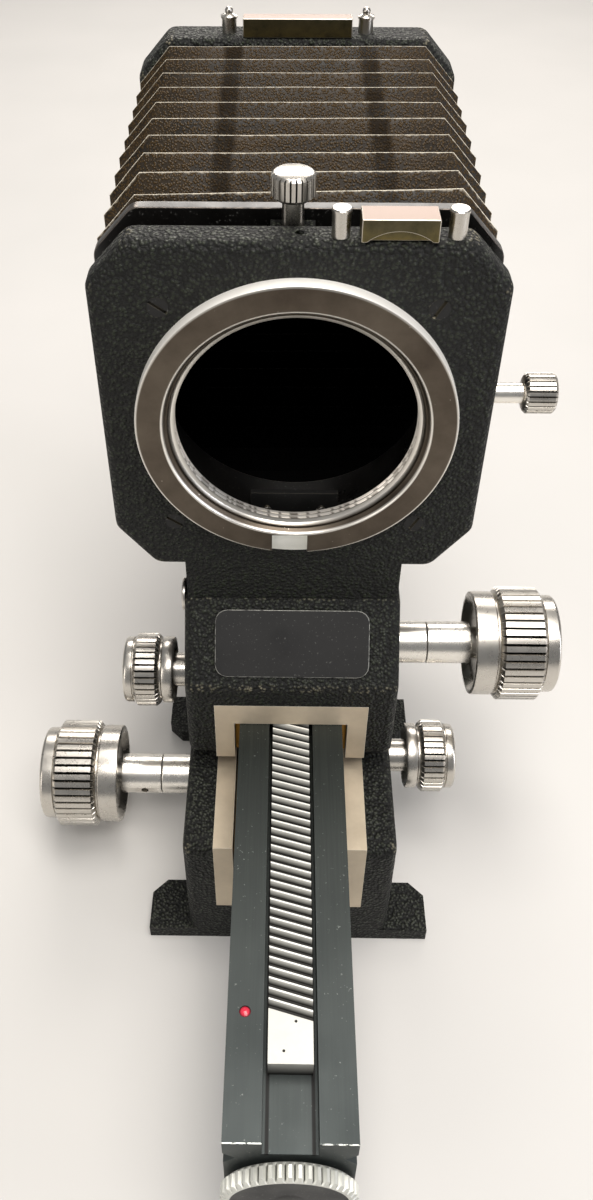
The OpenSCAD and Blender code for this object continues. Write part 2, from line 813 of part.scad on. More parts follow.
// ---- rail ----

module rail_section() {
    half = rail_w / 2;
    difference() {
        translate([-half, rail_z]) square([rail_w, rail_h]);
        for (z = [rail_z - over, rail_top - groove_d])
            translate([-groove_w / 2, z]) square([groove_w, groove_d + over]);
        for (side = [-1, 1], z = [rail_z + vee_inset, rail_top - vee_inset])
            polygon([[side * half, z - vee_d], [side * (half - vee_d), z], [side * half, z + vee_d]]);
    }
}

module rail_bar() {
    color(SATIN_BLACK) difference() {
        along_y(front_end, rear_end) rail_section();
        rod_y(front_end - over, front_end + stud_len + over, stud_r + run, 0, rail_mid);
        rod_y(rear_end - stud_len - over, rear_end + over, stud_r + run, 0, rail_mid);
        all_rack_pins();
        index_dot_solid(over);
    }
}

module top_rack() {
    color(STEEL) difference() {
        translate([0, 0, rail_top])
            rack(top_rack_front, top_rack_back, front_drive_y, top_first, top_last);
        all_rack_pins();
    }
}

module bottom_rack() {
    color(STEEL) difference() {
        translate([0, 0, rail_z]) rotate([0, 180, 0])
            rack(bottom_rack_front, bottom_rack_back, block_drive_y, bottom_first, bottom_last);
        all_rack_pins();
    }
}

// Two blind dowels under each rack hold it in its groove
module all_rack_pins() {
    tip = addendum + dedendum + rack_pin_skin;
    pin_len = rack_pin_seat + groove_d - tip;
    for (y = [top_rack_front + rack_stub / 2, top_rack_back - rack_stub / 2])
        translate([0, y, rail_top - tip - pin_len]) cylinder(r = rack_pin_r, h = pin_len);
    for (y = [bottom_rack_front + rack_stub / 2, bottom_rack_back - rack_stub / 2])
        translate([0, y, rail_z + tip]) cylinder(r = rack_pin_r, h = pin_len);
}

module rack_pins() {
    color(STEEL) all_rack_pins();
}

module index_dot_solid(above) {
    translate([dot_x, front_end + dot_inset, rail_top - dot_depth])
        cylinder(r = dot_d / 2, h = dot_depth + above);
}

module index_dot() {
    color(RED) index_dot_solid(0);
}

// One toothed end disc with its hub and stud, its stud along -Z
module end_disc() {
    knurl(end_disc_r, end_disc_t, 45, end_tooth_d);
    translate([0, 0, -hub_t]) cylinder(r = hub_r, h = hub_t);
    translate([0, 0, -hub_t - stud_len]) cylinder(r = stud_r, h = stud_len);
}

module front_end_disc() {
    color(CHROME) translate([0, front_end - run - hub_t, rail_mid]) rotate([90, 0, 0]) end_disc();
}

module rear_end_disc() {
    color(CHROME) translate([0, rear_end + run + hub_t, rail_mid]) rotate([-90, 0, 0]) end_disc();
}

// ---- rear standard ----

module rear_standard() {
    foot_top = lens_height - standard_down + bottom_cut.y;
    color(CRINKLE) difference() {
        union() {
            translate([0, rear_back, lens_height]) rotate([90, 0, 0])
                cast_slab(octagon(rear_half, rear_up, standard_down), rear_t);
            translate([-carriage_half, 0, 0]) rotate([90, 0, 90]) cast_slab([
                [rear_carriage_front, carriage_z], [rear_end, carriage_z],
                [rear_end, shoulder_z], [rear_back + cast_edge, shoulder_top],
                [rear_front - cast_edge, shoulder_top], [rear_carriage_front, shoulder_z]
            ], 2 * carriage_half);
            along_y(rear_front + cast_edge, rear_back - cast_edge) polygon([
                [-stem_half, shoulder_z], [stem_half, shoulder_z],
                [stem_half, foot_top], [-stem_half, foot_top]
            ]);
        }
        translate([-liner_half, rear_carriage_front - over, carriage_z - over])
            cube([2 * liner_half, rear_carriage_len + 2 * over, upper_liner_top - carriage_z + over]);
        on_axis(rear_front - over) cylinder(r = opening_r, h = rear_t + 2 * over);
        on_axis(rear_back - camera_spigot_len) cylinder(r = ring_spigot_r + run, h = rear_t);
        lock_hole(-1, carriage_half, rear_mid, front_lock_z);
        point_x(-1, rear_half - button_travel - button_stem, rear_standard_y, lens_height + button_up) {
            cylinder(r = button_r + run, h = button_travel + button_stem + over);
            translate([0, 0, -button_coil_d])
                cylinder(r = button_coil[0] + button_coil[1] + gap, h = button_coil_d + over);
        }
    }
}

module rear_liner() {
    color(BARE) difference() {
        along_y(rear_carriage_front, rear_end)
            liner_section(upper_liner_top, upper_bar_z - run, carriage_z);
        lock_hole(-1, carriage_half, rear_mid, front_lock_z);
    }
}

module rear_gibs() {
    color(BRASS) gibs(rear_carriage_front, rear_end, rail_top - vee_inset);
}

module rear_shoe_block() {
    translate([-rear_shoe.x / 2, rear_front + shoe_set, lens_height + rear_up])
        color(STEEL) cube(rear_shoe);
}

// One turned post with a collar, a cone above it and a ball tip
module ball_post(r, h) {
    ball_z = h - ball_r;
    collar_z = h - 2 * ball_r - collar_t;
    rotate_extrude() polygon([
        [0, 0], [r - collar_lip, 0], [r - collar_lip, collar_z], [r, collar_z],
        [r, collar_z + collar_t], [ball_neck_r, collar_z + collar_t + collar_cone],
        [ball_neck_r, ball_z], [0, ball_z]
    ]);
    translate([0, 0, ball_z]) sphere(r = ball_r);
}

module rear_posts() {
    for (side = [-1, 1])
        translate([side * (rear_shoe.x / 2 + rear_post_gap + rear_post_r), rear_standard_y,
            lens_height + rear_up])
            color(CHROME) ball_post(rear_post_r, rear_post_h);
}

module bellows_rear_frame() {
    color(SATIN_BLACK) difference() {
        translate([0, rear_front, lens_height]) rotate([90, 0, 0])
            linear_extrude(frame_t) polygon(inset(
                octagon(standard_half, standard_up, standard_down), pleat_d + frame_inset));
        on_axis(rear_front - frame_t - over) cylinder(r = opening_r, h = frame_t + 2 * over);
    }
}

// The bellows: rings of eight corners, out at each ridge and in at each valley, which
// rise towards the taller rear standard
module bellows() {
    rings = 2 * pleats + 1;
    step = bellows_len / (2 * pleats);
    function ridge(i) = octagon(standard_half,
        standard_up + (rear_up - standard_up) * i / (rings - 1), standard_down);
    function ring(i, inward) = [
        for (p = inset(ridge(i), inward + (i % 2 == 0 ? pleat_d : 0)))
            [p.x, plate_back + i * step, p.y + lens_height]
    ];
    points = [
        for (i = [0 : rings - 1]) each ring(i, 0),
        for (i = [rings - 1 : -1 : 0]) each ring(i, cloth_t)
    ];
    loops = 2 * rings;
    faces = [
        for (i = [0 : loops - 1], k = [0 : 7])
            let (a = i * 8, b = ((i + 1) % loops) * 8, n = (k + 1) % 8)
            each [[a + k, a + n, b + n], [a + k, b + n, b + k]]
    ];
    color(LEATHERETTE) polyhedron(points, faces);
}

module camera_ring() {
    thread_end = camera_spigot_len + camera_ring_t + camera_thread_len;
    shoulder = camera_spigot_len + run;
    rim = shoulder + camera_ring_t;
    color(CHROME) on_axis(rear_back - camera_spigot_len) rotate_extrude($fn = 96) polygon([
        [camera_bore_r, run], [ring_spigot_r, run], [ring_spigot_r, shoulder],
        [camera_ring_r, shoulder], [camera_ring_r, rim - camera_ring_edge],
        [camera_ring_r - camera_ring_edge, rim],
        [camera_thread_r, rim], [camera_thread_r, thread_end], [camera_bore_r, thread_end]
    ]);
}

module camera_ring_button() {
    color(CHROME)
        point_x(-1, rear_half - button_stem, rear_standard_y, lens_height + button_up)
            cylinder(r = button_r, h = button_stem + button_reach);
}

// A spring of round wire along +Z from 0 to h; coil is its radius and its wire's
module spring(coil, turns, h) {
    steps = round(turns * coil_steps);
    sides = 6;
    points = [
        for (i = [0 : steps], k = [0 : sides - 1])
            let (a = i * 360 / coil_steps, b = k * 360 / sides, r = coil[0] + coil[1] * cos(b))
            [r * cos(a), r * sin(a), coil[1] * (1 + sin(b)) + (h - 2 * coil[1]) * i / steps]
    ];
    faces = [
        [for (k = [0 : sides - 1]) k],
        [for (k = [sides - 1 : -1 : 0]) steps * sides + k],
        for (i = [0 : steps - 1], k = [0 : sides - 1])
            let (a = i * sides, b = a + sides, next = (k + 1) % sides)
            each [[a + k, b + k, b + next], [a + k, b + next, a + next]]
    ];
    polyhedron(points, faces);
}

// The spring that presses the button outwards
module button_spring() {
    color(STEEL) point_x(-1, rear_half - button_travel - button_stem - button_coil_d + run,
        rear_standard_y, lens_height + button_up)
            spring(button_coil, button_turns, button_travel + button_coil_d - 2 * run);
}

module rear_clamp_screw() {
    color(CHROME) {
        lock_len = carriage_half - lock_tip + run;
        point_x(-1, lock_tip, rear_mid, front_lock_z) cylinder(r = lock_screw_r, h = lock_len + over);
        point_x(-1, carriage_half + run, rear_mid, front_lock_z)
            knurl(rear_clamp_r, rear_clamp_len, 24, clamp_knurl_d);
    }
}

// ---- front standard ----

module front_standard() {
    slab_foot = lens_height - standard_down;
    color(CRINKLE) difference() {
        union() {
            translate([0, standard_back, lens_height]) rotate([90, 0, 0])
                cast_slab(octagon(standard_half, standard_up, standard_down), standard_t);
            translate([-carriage_half, 0, 0]) rotate([90, 0, 90]) cast_slab([
                [carriage_front, carriage_z], [carriage_back, carriage_z],
                [carriage_back, shoulder_z], [carriage_back - carriage_nose, shoulder_top],
                [standard_front, shoulder_top], [carriage_front, shoulder_z]
            ], 2 * carriage_half);
            along_y(standard_front, standard_back) polygon([
                [-stem_half, shoulder_z], [stem_half, shoulder_z],
                [stem_half, slab_foot + bottom_cut.y], [-stem_half, slab_foot + bottom_cut.y]
            ]);
            translate([thumb_x - thumb_boss_half, standard_back - cast_edge,
                lens_height + spigot_r + run])
                cube([2 * thumb_boss_half, plate_gap + cast_edge - gap,
                    standard_up - spigot_r - cast_edge]);
        }
        translate([-liner_half, carriage_front - over, carriage_z - over])
            cube([2 * liner_half, carriage_len + 2 * over, upper_liner_top - carriage_z + over]);
        on_axis(standard_front - over) cylinder(r = ring_spigot_r, h = standard_t + 2 * over, $fn = 96);
        on_axis(spigot_seat) cylinder(r = spigot_r + run, h = spigot_d + over, $fn = 96);
        drive_holes(1, carriage_half - over, front_drive_y, front_drive_z);
        drive_bush_seat(1, carriage_half, front_drive_y, front_drive_z);
        lock_hole(-1, carriage_half, front_lock_y, front_lock_z);
        all_face_screws(over);
        rod_x(plunger_bore_end, standard_half + over, pin_r + run, plunger_y, lens_height + plunger_up);
        translate([thumb_x, thumb_y, lens_height + spigot_r])
            cylinder(r = pin_r + run, h = standard_up);
    }
}

module front_liner() {
    color(BARE) difference() {
        along_y(carriage_front, carriage_back)
            liner_section(upper_liner_top, upper_bar_z, carriage_z);
        drive_holes(1, liner_half + over, front_drive_y, front_drive_z);
        lock_hole(-1, carriage_half, front_lock_y, front_lock_z);
    }
}

module front_gibs() {
    color(BRASS) gibs(carriage_front, carriage_back, rail_top - vee_inset);
}

module front_drive_bush() {
    color(CHROME) drive_bush(1, carriage_half, front_drive_y, front_drive_z);
}

// The blank plate on the sloping shoulder
module nameplate_blank() {
    tilt = atan2(shoulder_h, carriage_nose);
    half = nameplate / 2;
    color(SATIN_BLACK)
        translate([0, standard_front - carriage_nose / 2, shoulder_top - shoulder_h / 2])
            rotate([tilt, 0, 0]) linear_extrude(plate_skin)
                polygon(rounded([-half, [half.x, -half.y], half, [-half.x, half.y]], nameplate_r));
}

module lens_ring() {
    rim = ring_edge;
    color(CHROME) difference() {
        on_axis(ring_front) rotate_extrude($fn = 96) polygon([
            [ring_face_r, 0], [ring_r - rim, 0], [ring_r, rim], [ring_r, ring_proud],
            [ring_spigot_r, ring_proud], [ring_spigot_r, ring_depth], [thread_r, ring_depth],
            [thread_r, ring_bevel]
        ]);
        translate([notch_x - notch_w / 2, ring_front - over, lens_height - ring_r - over])
            cube([notch_w, notch_d + over, ring_r - ring_face_r + over]);
        pusher_pins(ring_front + pusher_pin_skin, pusher_pin_r + run);
    }
}

// Slotted countersunk screws; above lengthens the head for use as a cut
module face_screw(above) {
    cylinder(r = face_screw_shank, h = face_screw_len);
    cylinder(r1 = face_screw_r, r2 = face_screw_shank, h = face_screw_head);
    if (above > 0) translate([0, 0, -above]) cylinder(r = face_screw_r, h = above);
}

module all_face_screws(above) {
    for (x = [-face_screw_at, face_screw_at], z = [-face_screw_at, face_screw_at])
        translate([x, standard_front, lens_height + z]) rotate([-90, 0, 0]) face_screw(above);
}

module face_screws() {
    color(SATIN_BLACK) difference() {
        all_face_screws(0);
        for (x = [-face_screw_at, face_screw_at], z = [-face_screw_at, face_screw_at])
            translate([x, standard_front, lens_height + z]) rotate([0, x < 0 ? 35 : 120, 0])
                cube([2 * face_screw_r, 2 * face_slot_d, face_slot_w], center = true);
    }
}

module side_plug() {
    color(CHROME) point_x(-1, carriage_half, plunger_y, shoulder_top - plug_r + plug_rise)
        cylinder(r = plug_r, h = plug_t);
}

module front_shoe_block() {
    front = plunger_y - front_shoe.y / 2 - shoe_set;
    foot = lens_height + standard_up;
    color(BRASS) difference() {
        translate([front_shoe_x - front_shoe.x / 2, front, foot]) cube(front_shoe);
        rod_y(front - over, front + scallop_d, scallop_r, front_shoe_x, foot + scallop_h - scallop_r);
    }
}

module front_posts() {
    for (side = [-1, 1])
        translate([front_shoe_x + side * (front_shoe.x / 2 + post_gap + front_post_r),
            plunger_y - shoe_set, lens_height + standard_up])
            color(CHROME) {
                cylinder(r = front_post_r, h = front_post_h);
                translate([0, 0, front_post_h - post_cap_t])
                    cylinder(r = front_post_r + post_cap_lip, h = post_cap_t);
            }
}

module bellows_front_plate() {
    color(SATIN_BLACK) difference() {
        union() {
            translate([0, plate_back, lens_height]) rotate([90, 0, 0]) linear_extrude(plate_t)
                polygon(rounded(octagon(standard_half, standard_up, standard_down), cast_corner));
            on_axis(spigot_seat + run)
                cylinder(r = spigot_r, h = plate_front - spigot_seat - run, $fn = 96);
        }
        on_axis(spigot_seat) cylinder(r = opening_r, h = plate_back, $fn = 96);
    }
}

module bellows_thumbscrew() {
    top = lens_height + standard_up + thumb_neck_h;
    foot = lens_height + spigot_r + run;
    color(CHROME) translate([thumb_x, thumb_y, 0]) {
        translate([0, 0, foot]) cylinder(r = pin_r, h = top - foot);
        translate([0, 0, top]) knurl(head_r, thumb_head_h, 24, head_knurl_d);
    }
}

module front_drive_shaft() {
    color(CHROME) drive_shaft(1, carriage_half, front_drive_y, front_drive_z);
}

module front_pinion() {
    color(STEEL) pinion(front_drive_y, front_drive_z);
}

module front_drive_knob() {
    color(CHROME)
        point_x(1, carriage_half + drive_bush_len + run + drive_neck_len, front_drive_y, front_drive_z)
            drive_knob();
}

module front_lock_screw() {
    color(STEEL) lock_screw(-1, carriage_half, front_lock_y, front_lock_z);
}

module front_lock_knob() {
    color(CHROME) point_x(-1, carriage_half + run, front_lock_y, front_lock_z)
        lock_knob(lock_neck_r);
}

// The plunger beside the lens ring, pushed in by hand
module plunger_rod() {
    tip = plunger_bore_end + plunger_travel + gap;
    color(CHROME) rod_x(tip, standard_half + plunger_neck_len, pin_r, plunger_y,
        lens_height + plunger_up);
}

module plunger_head() {
    color(CHROME)
        point_x(1, standard_half + plunger_neck_len, plunger_y, lens_height + plunger_up)
            knurl(head_r, plunger_head_len, 24, head_knurl_d);
}

module pusher_pins(y, r) {
    for (side = [-1, 1])
        rod_y(y, pusher_y + over / 2, r, side * pusher_pin_x, lens_height - pusher_pin_down);
}

// The plate behind the lens thread that presses the lens's diaphragm pin
module diaphragm_pusher() {
    color(STEEL) {
        intersection() {
            on_axis(pusher_y) cylinder(r = opening_r - gap, h = pusher_t, $fn = 96);
            translate([-pusher_w / 2, pusher_y - over, lens_height - opening_r])
                cube([pusher_w, pusher_t + 2 * over, pusher_h]);
        }
        pusher_pins(ring_front + pusher_pin_skin + 2 * run + pusher_travel, pusher_pin_r);
    }
}

// The springs round the pusher's pins, between the ring and the plate
module pusher_springs() {
    for (side = [-1, 1])
        color(STEEL) translate([side * pusher_pin_x, ring_back + run, lens_height - pusher_pin_down])
            rotate([-90, 0, 0]) spring(pusher_coil, pusher_turns, pusher_y - ring_back - 2 * run);
}

tripod_block();
block_liner();
block_gibs();
tripod_bush();
block_drive_bush();
block_drive_shaft();
block_pinion();
block_drive_knob();
block_lock_screw();
block_lock_knob();
rail_bar();
top_rack();
bottom_rack();
rack_pins();
index_dot();
front_end_disc();
rear_end_disc();
rear_standard();
rear_liner();
rear_gibs();
rear_shoe_block();
rear_posts();
bellows_rear_frame();
bellows();
camera_ring();
camera_ring_button();
rear_clamp_screw();
front_standard();
front_liner();
front_gibs();
front_drive_bush();
nameplate_blank();
lens_ring();
face_screws();
side_plug();
front_shoe_block();
front_posts();
bellows_front_plate();
bellows_thumbscrew();
front_drive_shaft();
front_pinion();
front_drive_knob();
front_lock_screw();
front_lock_knob();
plunger_rod();
plunger_head();
diaphragm_pusher();
pusher_springs();
button_spring();
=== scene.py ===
import json
import math

import bmesh
import bpy
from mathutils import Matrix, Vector, noise


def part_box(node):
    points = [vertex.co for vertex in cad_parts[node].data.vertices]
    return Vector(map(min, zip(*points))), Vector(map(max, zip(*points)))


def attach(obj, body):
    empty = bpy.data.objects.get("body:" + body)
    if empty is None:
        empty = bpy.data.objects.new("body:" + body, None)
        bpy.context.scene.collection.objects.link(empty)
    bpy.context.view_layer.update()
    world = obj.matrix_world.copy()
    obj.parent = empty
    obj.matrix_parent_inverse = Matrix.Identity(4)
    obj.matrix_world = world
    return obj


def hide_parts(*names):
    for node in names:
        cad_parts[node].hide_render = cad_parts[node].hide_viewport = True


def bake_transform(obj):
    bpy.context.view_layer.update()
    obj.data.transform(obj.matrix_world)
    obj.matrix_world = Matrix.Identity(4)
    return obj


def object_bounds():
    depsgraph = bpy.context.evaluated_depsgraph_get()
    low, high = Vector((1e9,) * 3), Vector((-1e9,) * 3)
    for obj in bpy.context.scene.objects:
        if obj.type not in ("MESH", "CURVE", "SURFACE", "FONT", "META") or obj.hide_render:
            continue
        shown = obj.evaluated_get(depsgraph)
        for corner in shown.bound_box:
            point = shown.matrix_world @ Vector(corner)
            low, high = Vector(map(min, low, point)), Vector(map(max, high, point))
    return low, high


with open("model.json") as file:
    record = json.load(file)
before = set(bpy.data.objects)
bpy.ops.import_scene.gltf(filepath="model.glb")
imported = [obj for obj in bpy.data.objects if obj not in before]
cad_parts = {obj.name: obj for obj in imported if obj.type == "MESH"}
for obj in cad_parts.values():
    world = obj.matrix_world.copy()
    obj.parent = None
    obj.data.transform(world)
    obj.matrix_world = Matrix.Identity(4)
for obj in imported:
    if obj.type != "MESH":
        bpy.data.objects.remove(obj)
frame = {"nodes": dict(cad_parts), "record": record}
CAD_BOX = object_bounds()
MM = 0.001


# ---- the view ----
# The photograph looks down the rail from in front and above, from close by, so the
# rail's front end is drawn large. The place and turn of the camera were fitted to the
# lens ring, the front plate and the evenly spaced teeth of the rack.
photo_size = (593, 1200)
photo_focus = 1057.74
photo_centre = (270.14, 569.82)
camera_place = (-2.265, -148.238, 222.884)
camera_down = 43.517
camera_roll = 0.832

lens = bpy.data.cameras.new("photo_camera")
lens.sensor_fit = "VERTICAL"
lens.sensor_height = 24.0
lens.lens = photo_focus / photo_size[1] * lens.sensor_height
lens.shift_x = (photo_size[0] / 2 - photo_centre[0]) / photo_size[1]
lens.shift_y = (photo_centre[1] - photo_size[1] / 2) / photo_size[1]
lens.clip_start = 0.005
camera = bpy.data.objects.new("photo_camera", lens)
camera.location = Vector(camera_place) * MM
camera.rotation_euler = (math.radians(90 - camera_down), 0, math.radians(camera_roll))
bpy.context.scene.collection.objects.link(camera)
bpy.context.scene.camera = camera
bpy.context.scene.view_settings.view_transform = "Standard"


# ---- floor and lamps ----
# A pale painted floor. Large soft lamps hang overhead, behind and high in front, and draw
# the bright lines along the top edges. A weaker one on each side fills the shadows.
floor_wide = 4.0
air_strength = 0.32


def deselect_all():
    if bpy.context.object and bpy.context.object.mode != "OBJECT":
        bpy.ops.object.mode_set(mode="OBJECT")
    bpy.ops.object.select_all(action="DESELECT")


def linear(colour):
    """An sRGB hex colour as linear red, green, blue and alpha."""
    parts = [int(colour[i : i + 2], 16) / 255 for i in (1, 3, 5)]
    return [c / 12.92 if c <= 0.04045 else ((c + 0.055) / 1.055) ** 2.4 for c in parts] + [1.0]


def node(tree, kind, inputs=(), **settings):
    """Adds one shader node with its settings, and sets or links its inputs.

    Inputs go by name or by number: Map Range takes its value at 0, the range it comes from
    at 1 and 2 and the range it goes to at 3 and 4, and Mix takes its share at 0 and two
    colours at 6 and 7. A node given as an input is linked from its first output, and a hex
    colour is set as its linear one.
    """
    made = tree.nodes.new("ShaderNode" + kind)
    for name, value in settings.items():
        setattr(made, name, value)
    for name, value in dict(inputs).items():
        if isinstance(value, bpy.types.Node):
            value = value.outputs[0]
        if isinstance(value, bpy.types.NodeSocket):
            tree.links.new(value, made.inputs[name])
        else:
            made.inputs[name].default_value = linear(value) if isinstance(value, str) else value
    return made


def new_material(name):
    """A new material and its node tree, which is still empty."""
    made = bpy.data.materials.new(name)
    made.use_nodes = True
    made.node_tree.nodes.clear()
    return made, made.node_tree


def painted_floor():
    """Flat wall paint on board, faintly uneven."""
    made, tree = new_material("painted_floor")
    place = node(tree, "TexCoord").outputs["Object"]
    grain = node(tree, "TexNoise", {"Vector": place, "Scale": 15.0})
    paint = node(tree, "Mix", {0: grain, 6: "#c6c5c2", 7: "#cfcdca"}, data_type="RGBA")
    shader = node(tree, "BsdfPrincipled", {"Base Color": paint.outputs[2], "Roughness": 0.75})
    node(tree, "OutputMaterial", {0: shader})
    return made


deselect_all()
bpy.ops.mesh.primitive_plane_add(size=floor_wide, location=(0, 0, CAD_BOX[0][2]))
floor = bpy.context.object
floor.name = "floor"
floor.data.materials.append(painted_floor())


def lamp(name, place, aim, size, power, colour):
    """A rectangular soft lamp at a place, turned towards a point."""
    light = bpy.data.lights.new(name, "AREA")
    light.shape = "RECTANGLE"
    light.size, light.size_y = size
    light.energy = power
    light.color = linear(colour)[:3]
    holder = bpy.data.objects.new(name, light)
    holder.location = place
    holder.rotation_euler = (Vector(aim) - Vector(place)).to_track_quat("-Z", "Y").to_euler()
    bpy.context.scene.collection.objects.link(holder)


lamp("overhead", (0.05, 0.04, 0.8), (0, 0.02, 0.08), (0.45, 0.3), 4.3, "#fffaf4")
lamp("behind", (0.05, 0.75, 0.5), (0, 0.02, 0.12), (0.7, 0.25), 4.0, "#fff8f1")
lamp("front_high", (0.1, -0.3, 0.72), (0, 0, 0.08), (0.5, 0.2), 3.0, "#fffaf5")
lamp("front_left", (-0.5, -0.45, 0.3), (0, 0, 0.09), (0.2, 0.5), 1.0, "#fff8f1")
lamp("right_side", (0.6, -0.2, 0.25), (0, 0.03, 0.08), (0.15, 0.5), 1.3, "#f4f6ff")

world = bpy.data.worlds.new("studio_air")
world.use_nodes = True
world.node_tree.nodes["Background"].inputs[0].default_value = linear("#dfe0e2")
world.node_tree.nodes["Background"].inputs[1].default_value = air_strength
bpy.context.scene.world = world


# ---- castings: tripod block, rear standard, front standard ----
# Sand-cast light alloy in black crinkle enamel, which is stoved until it wrinkles into
# worm-like ridges. Light and shade are painted into its colour: the ridges are grey-green
# specks and the folds black, crests on level faces are paler as painted top light with
# dust, and the rounded edges carry a painted highlight where handling has also polished them.
BODY_OF = {n: b for b, ns in frame["record"]["behaviour"]["bodies"].items() for n in ns}
strip_width = 0.6 * MM
merge_gap = 0.002 * MM
flat_angle = 0.6
edge_angle = 32
cast_angle = 38


def stands_for(piece, cad_node):
    """The piece rides with the body of this CAD node and is shown in its place."""
    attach(piece, BODY_OF[cad_node])
    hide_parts(cad_node)


def coated(piece, material):
    """Gives a whole piece one material."""
    piece.data.materials.clear()
    piece.data.materials.append(material)


def activated(piece):
    """Makes this piece the only one that the next operators act on."""
    deselect_all()
    piece.select_set(True)
    bpy.context.view_layer.objects.active = piece


def apply_modifier(piece, kind, **settings):
    """Adds a modifier to the active piece and applies it."""
    made = piece.modifiers.new(kind.lower(), kind)
    for name, value in settings.items():
        setattr(made, name, value)
    bpy.ops.object.modifier_apply(modifier=made.name)


def whole_copy(cad_node, name):
    """A copy of a CAD node with its loose triangles merged into whole flat faces."""
    piece = frame["nodes"][cad_node].copy()
    piece.data = piece.data.copy()
    piece.name = name
    piece.parent = None
    for key in list(piece.keys()):
        del piece[key]
    bpy.context.scene.collection.objects.link(piece)
    activated(piece)
    bpy.ops.object.mode_set(mode="EDIT")
    bpy.ops.mesh.select_all(action="SELECT")
    bpy.ops.mesh.remove_doubles(threshold=merge_gap)
    bpy.ops.mesh.dissolve_limited(angle_limit=math.radians(flat_angle))
    bpy.ops.object.mode_set(mode="OBJECT")
    return piece


def marked(piece, name, rule):
    """Notes a value from 0 to 1 at each point of a piece, for its material to read."""
    mark = piece.data.attributes.new(name, "FLOAT", "POINT")
    for i, vertex in enumerate(piece.data.vertices):
        mark.data[i].value = max(0.0, min(1.0, rule(vertex)))


def even_shading(piece, angle):
    """Smooth over shallow edges, with broad faces kept flat up to their rims."""
    bpy.ops.object.shade_smooth_by_angle(angle=math.radians(angle))
    apply_modifier(piece, "WEIGHTED_NORMAL", keep_sharp=True, weight=80)


def fitted(piece, cad_node, material, angle):
    """Shades and coats the active piece, and puts it in the place of its CAD node."""
    even_shading(piece, angle)
    coated(piece, material)
    stands_for(piece, cad_node)


def deburred(cad_node, name, edge, material, rounds=2):
    """A copy of a CAD node, its sharp edges broken by a width in mm and its strips marked."""
    piece = whole_copy(cad_node, name)
    apply_modifier(piece, "BEVEL", width=edge * MM, segments=rounds, limit_method="ANGLE",
        angle_limit=math.radians(edge_angle), use_clamp_overlap=True)
    points = piece.data.vertices
    broad = set()
    for face in piece.data.polygons:
        corners = [points[i].co for i in face.vertices]
        rim = sum((a - b).length for a, b in zip(corners, corners[1:] + corners[:1]))
        if face.area > strip_width / 2 * rim:
            broad.update(face.vertices)
    marked(piece, "edge", lambda vertex: 0.0 if vertex.index in broad else 1.0)
    fitted(piece, cad_node, material, cast_angle)
    return piece


def layered(tree, colour, *layers):
    """Lays colours over a first one in turn, each by a value that rises from low to high.

    A layer is that value, its low and high end, the most that it covers, and its colour.
    """
    for value, low, high, most, over in layers:
        share = node(tree, "MapRange", {0: value, 1: low, 2: high, 4: most})
        mixed = node(tree, "Mix", {0: share, 6: colour, 7: over}, data_type="RGBA")
        colour = mixed.outputs[2]
    return colour


def crinkle_enamel():
    """Stoved crinkle enamel, painted black in the folds and grey on the ridges as shade and light,
    and paler where level as painted top light with dust.

    The wrinkles are drawn 0.68 mm wide, coarser than they are, so that they show.
    """
    made, tree = new_material("black_crinkle_enamel")
    where = node(tree, "TexCoord")
    place = where.outputs["Object"]
    warp = node(tree, "TexNoise", {"Vector": place, "Scale": 1 / (1.6 * MM),
        "Detail": 4.0, "Roughness": 0.7})
    cells = node(tree, "TexVoronoi", {"Vector": place, "Scale": 1 / (0.68 * MM)})
    height = node(tree, "Math", {0: warp, 1: cells}, operation="SUBTRACT")
    bump = node(tree, "Bump", {"Height": height, "Strength": 1.0, "Distance": 0.45 * MM})
    # Painted light and shade: the crests are coloured grey-green and the folds black.
    crest = node(tree, "MapRange", {0: height, 1: 0.0, 2: 0.4})
    facing = node(tree, "SeparateXYZ", {0: where.outputs["Normal"]})
    # Painted top light, with some dust: the crests of level faces are coloured paler.
    level = node(tree, "MapRange", {0: facing.outputs[2], 1: 0.4, 2: 1.0, 4: 0.6})
    dust_and_sheen = node(tree, "Math", {0: crest, 1: level}, operation="MULTIPLY")
    # Painted highlight along the edges, where handling has also polished the paint.
    edges = node(tree, "Attribute", attribute_name="edge").outputs["Fac"]
    rub = node(tree, "TexNoise", {"Vector": place, "Scale": 1 / (6 * MM), "Detail": 3.0})
    handled = node(tree, "MapRange", {0: rub, 1: 0.35, 2: 0.65})
    worn = node(tree, "Math", {0: edges, 1: handled}, operation="MULTIPLY")
    polish_and_highlight = node(tree, "Math", {0: worn, 1: crest}, operation="MULTIPLY")
    paint = layered(tree, "#050604", (crest, 0.0, 1.0, 1.0, "#1f2617"),
        (dust_and_sheen, 0.0, 1.0, 1.0, "#4b4d45"), (polish_and_highlight, 0.0, 1.0, 1.0, "#7d7663"))
    rough = node(tree, "MapRange", {0: crest, 3: 0.65, 4: 0.32})
    shader = node(tree, "BsdfPrincipled", {"Base Color": paint,
        "Specular IOR Level": 0.35, "Roughness": rough, "Normal": bump})
    node(tree, "OutputMaterial", {0: shader})
    return made


enamel = crinkle_enamel()
deburred("tripod_block", "block_casting", 0.3, enamel)
deburred("rear_standard", "rear_casting", 0.3, enamel)
front_casting = deburred("front_standard", "front_casting", 0.3, enamel)

upward = Vector((0, 0, 1))
drill_long = 4.0
drill_sides = 24
pit_r = 0.7
pit_deep = 1.0
front_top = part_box("front_standard")[1].z
rod_low, rod_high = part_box("plunger_rod")


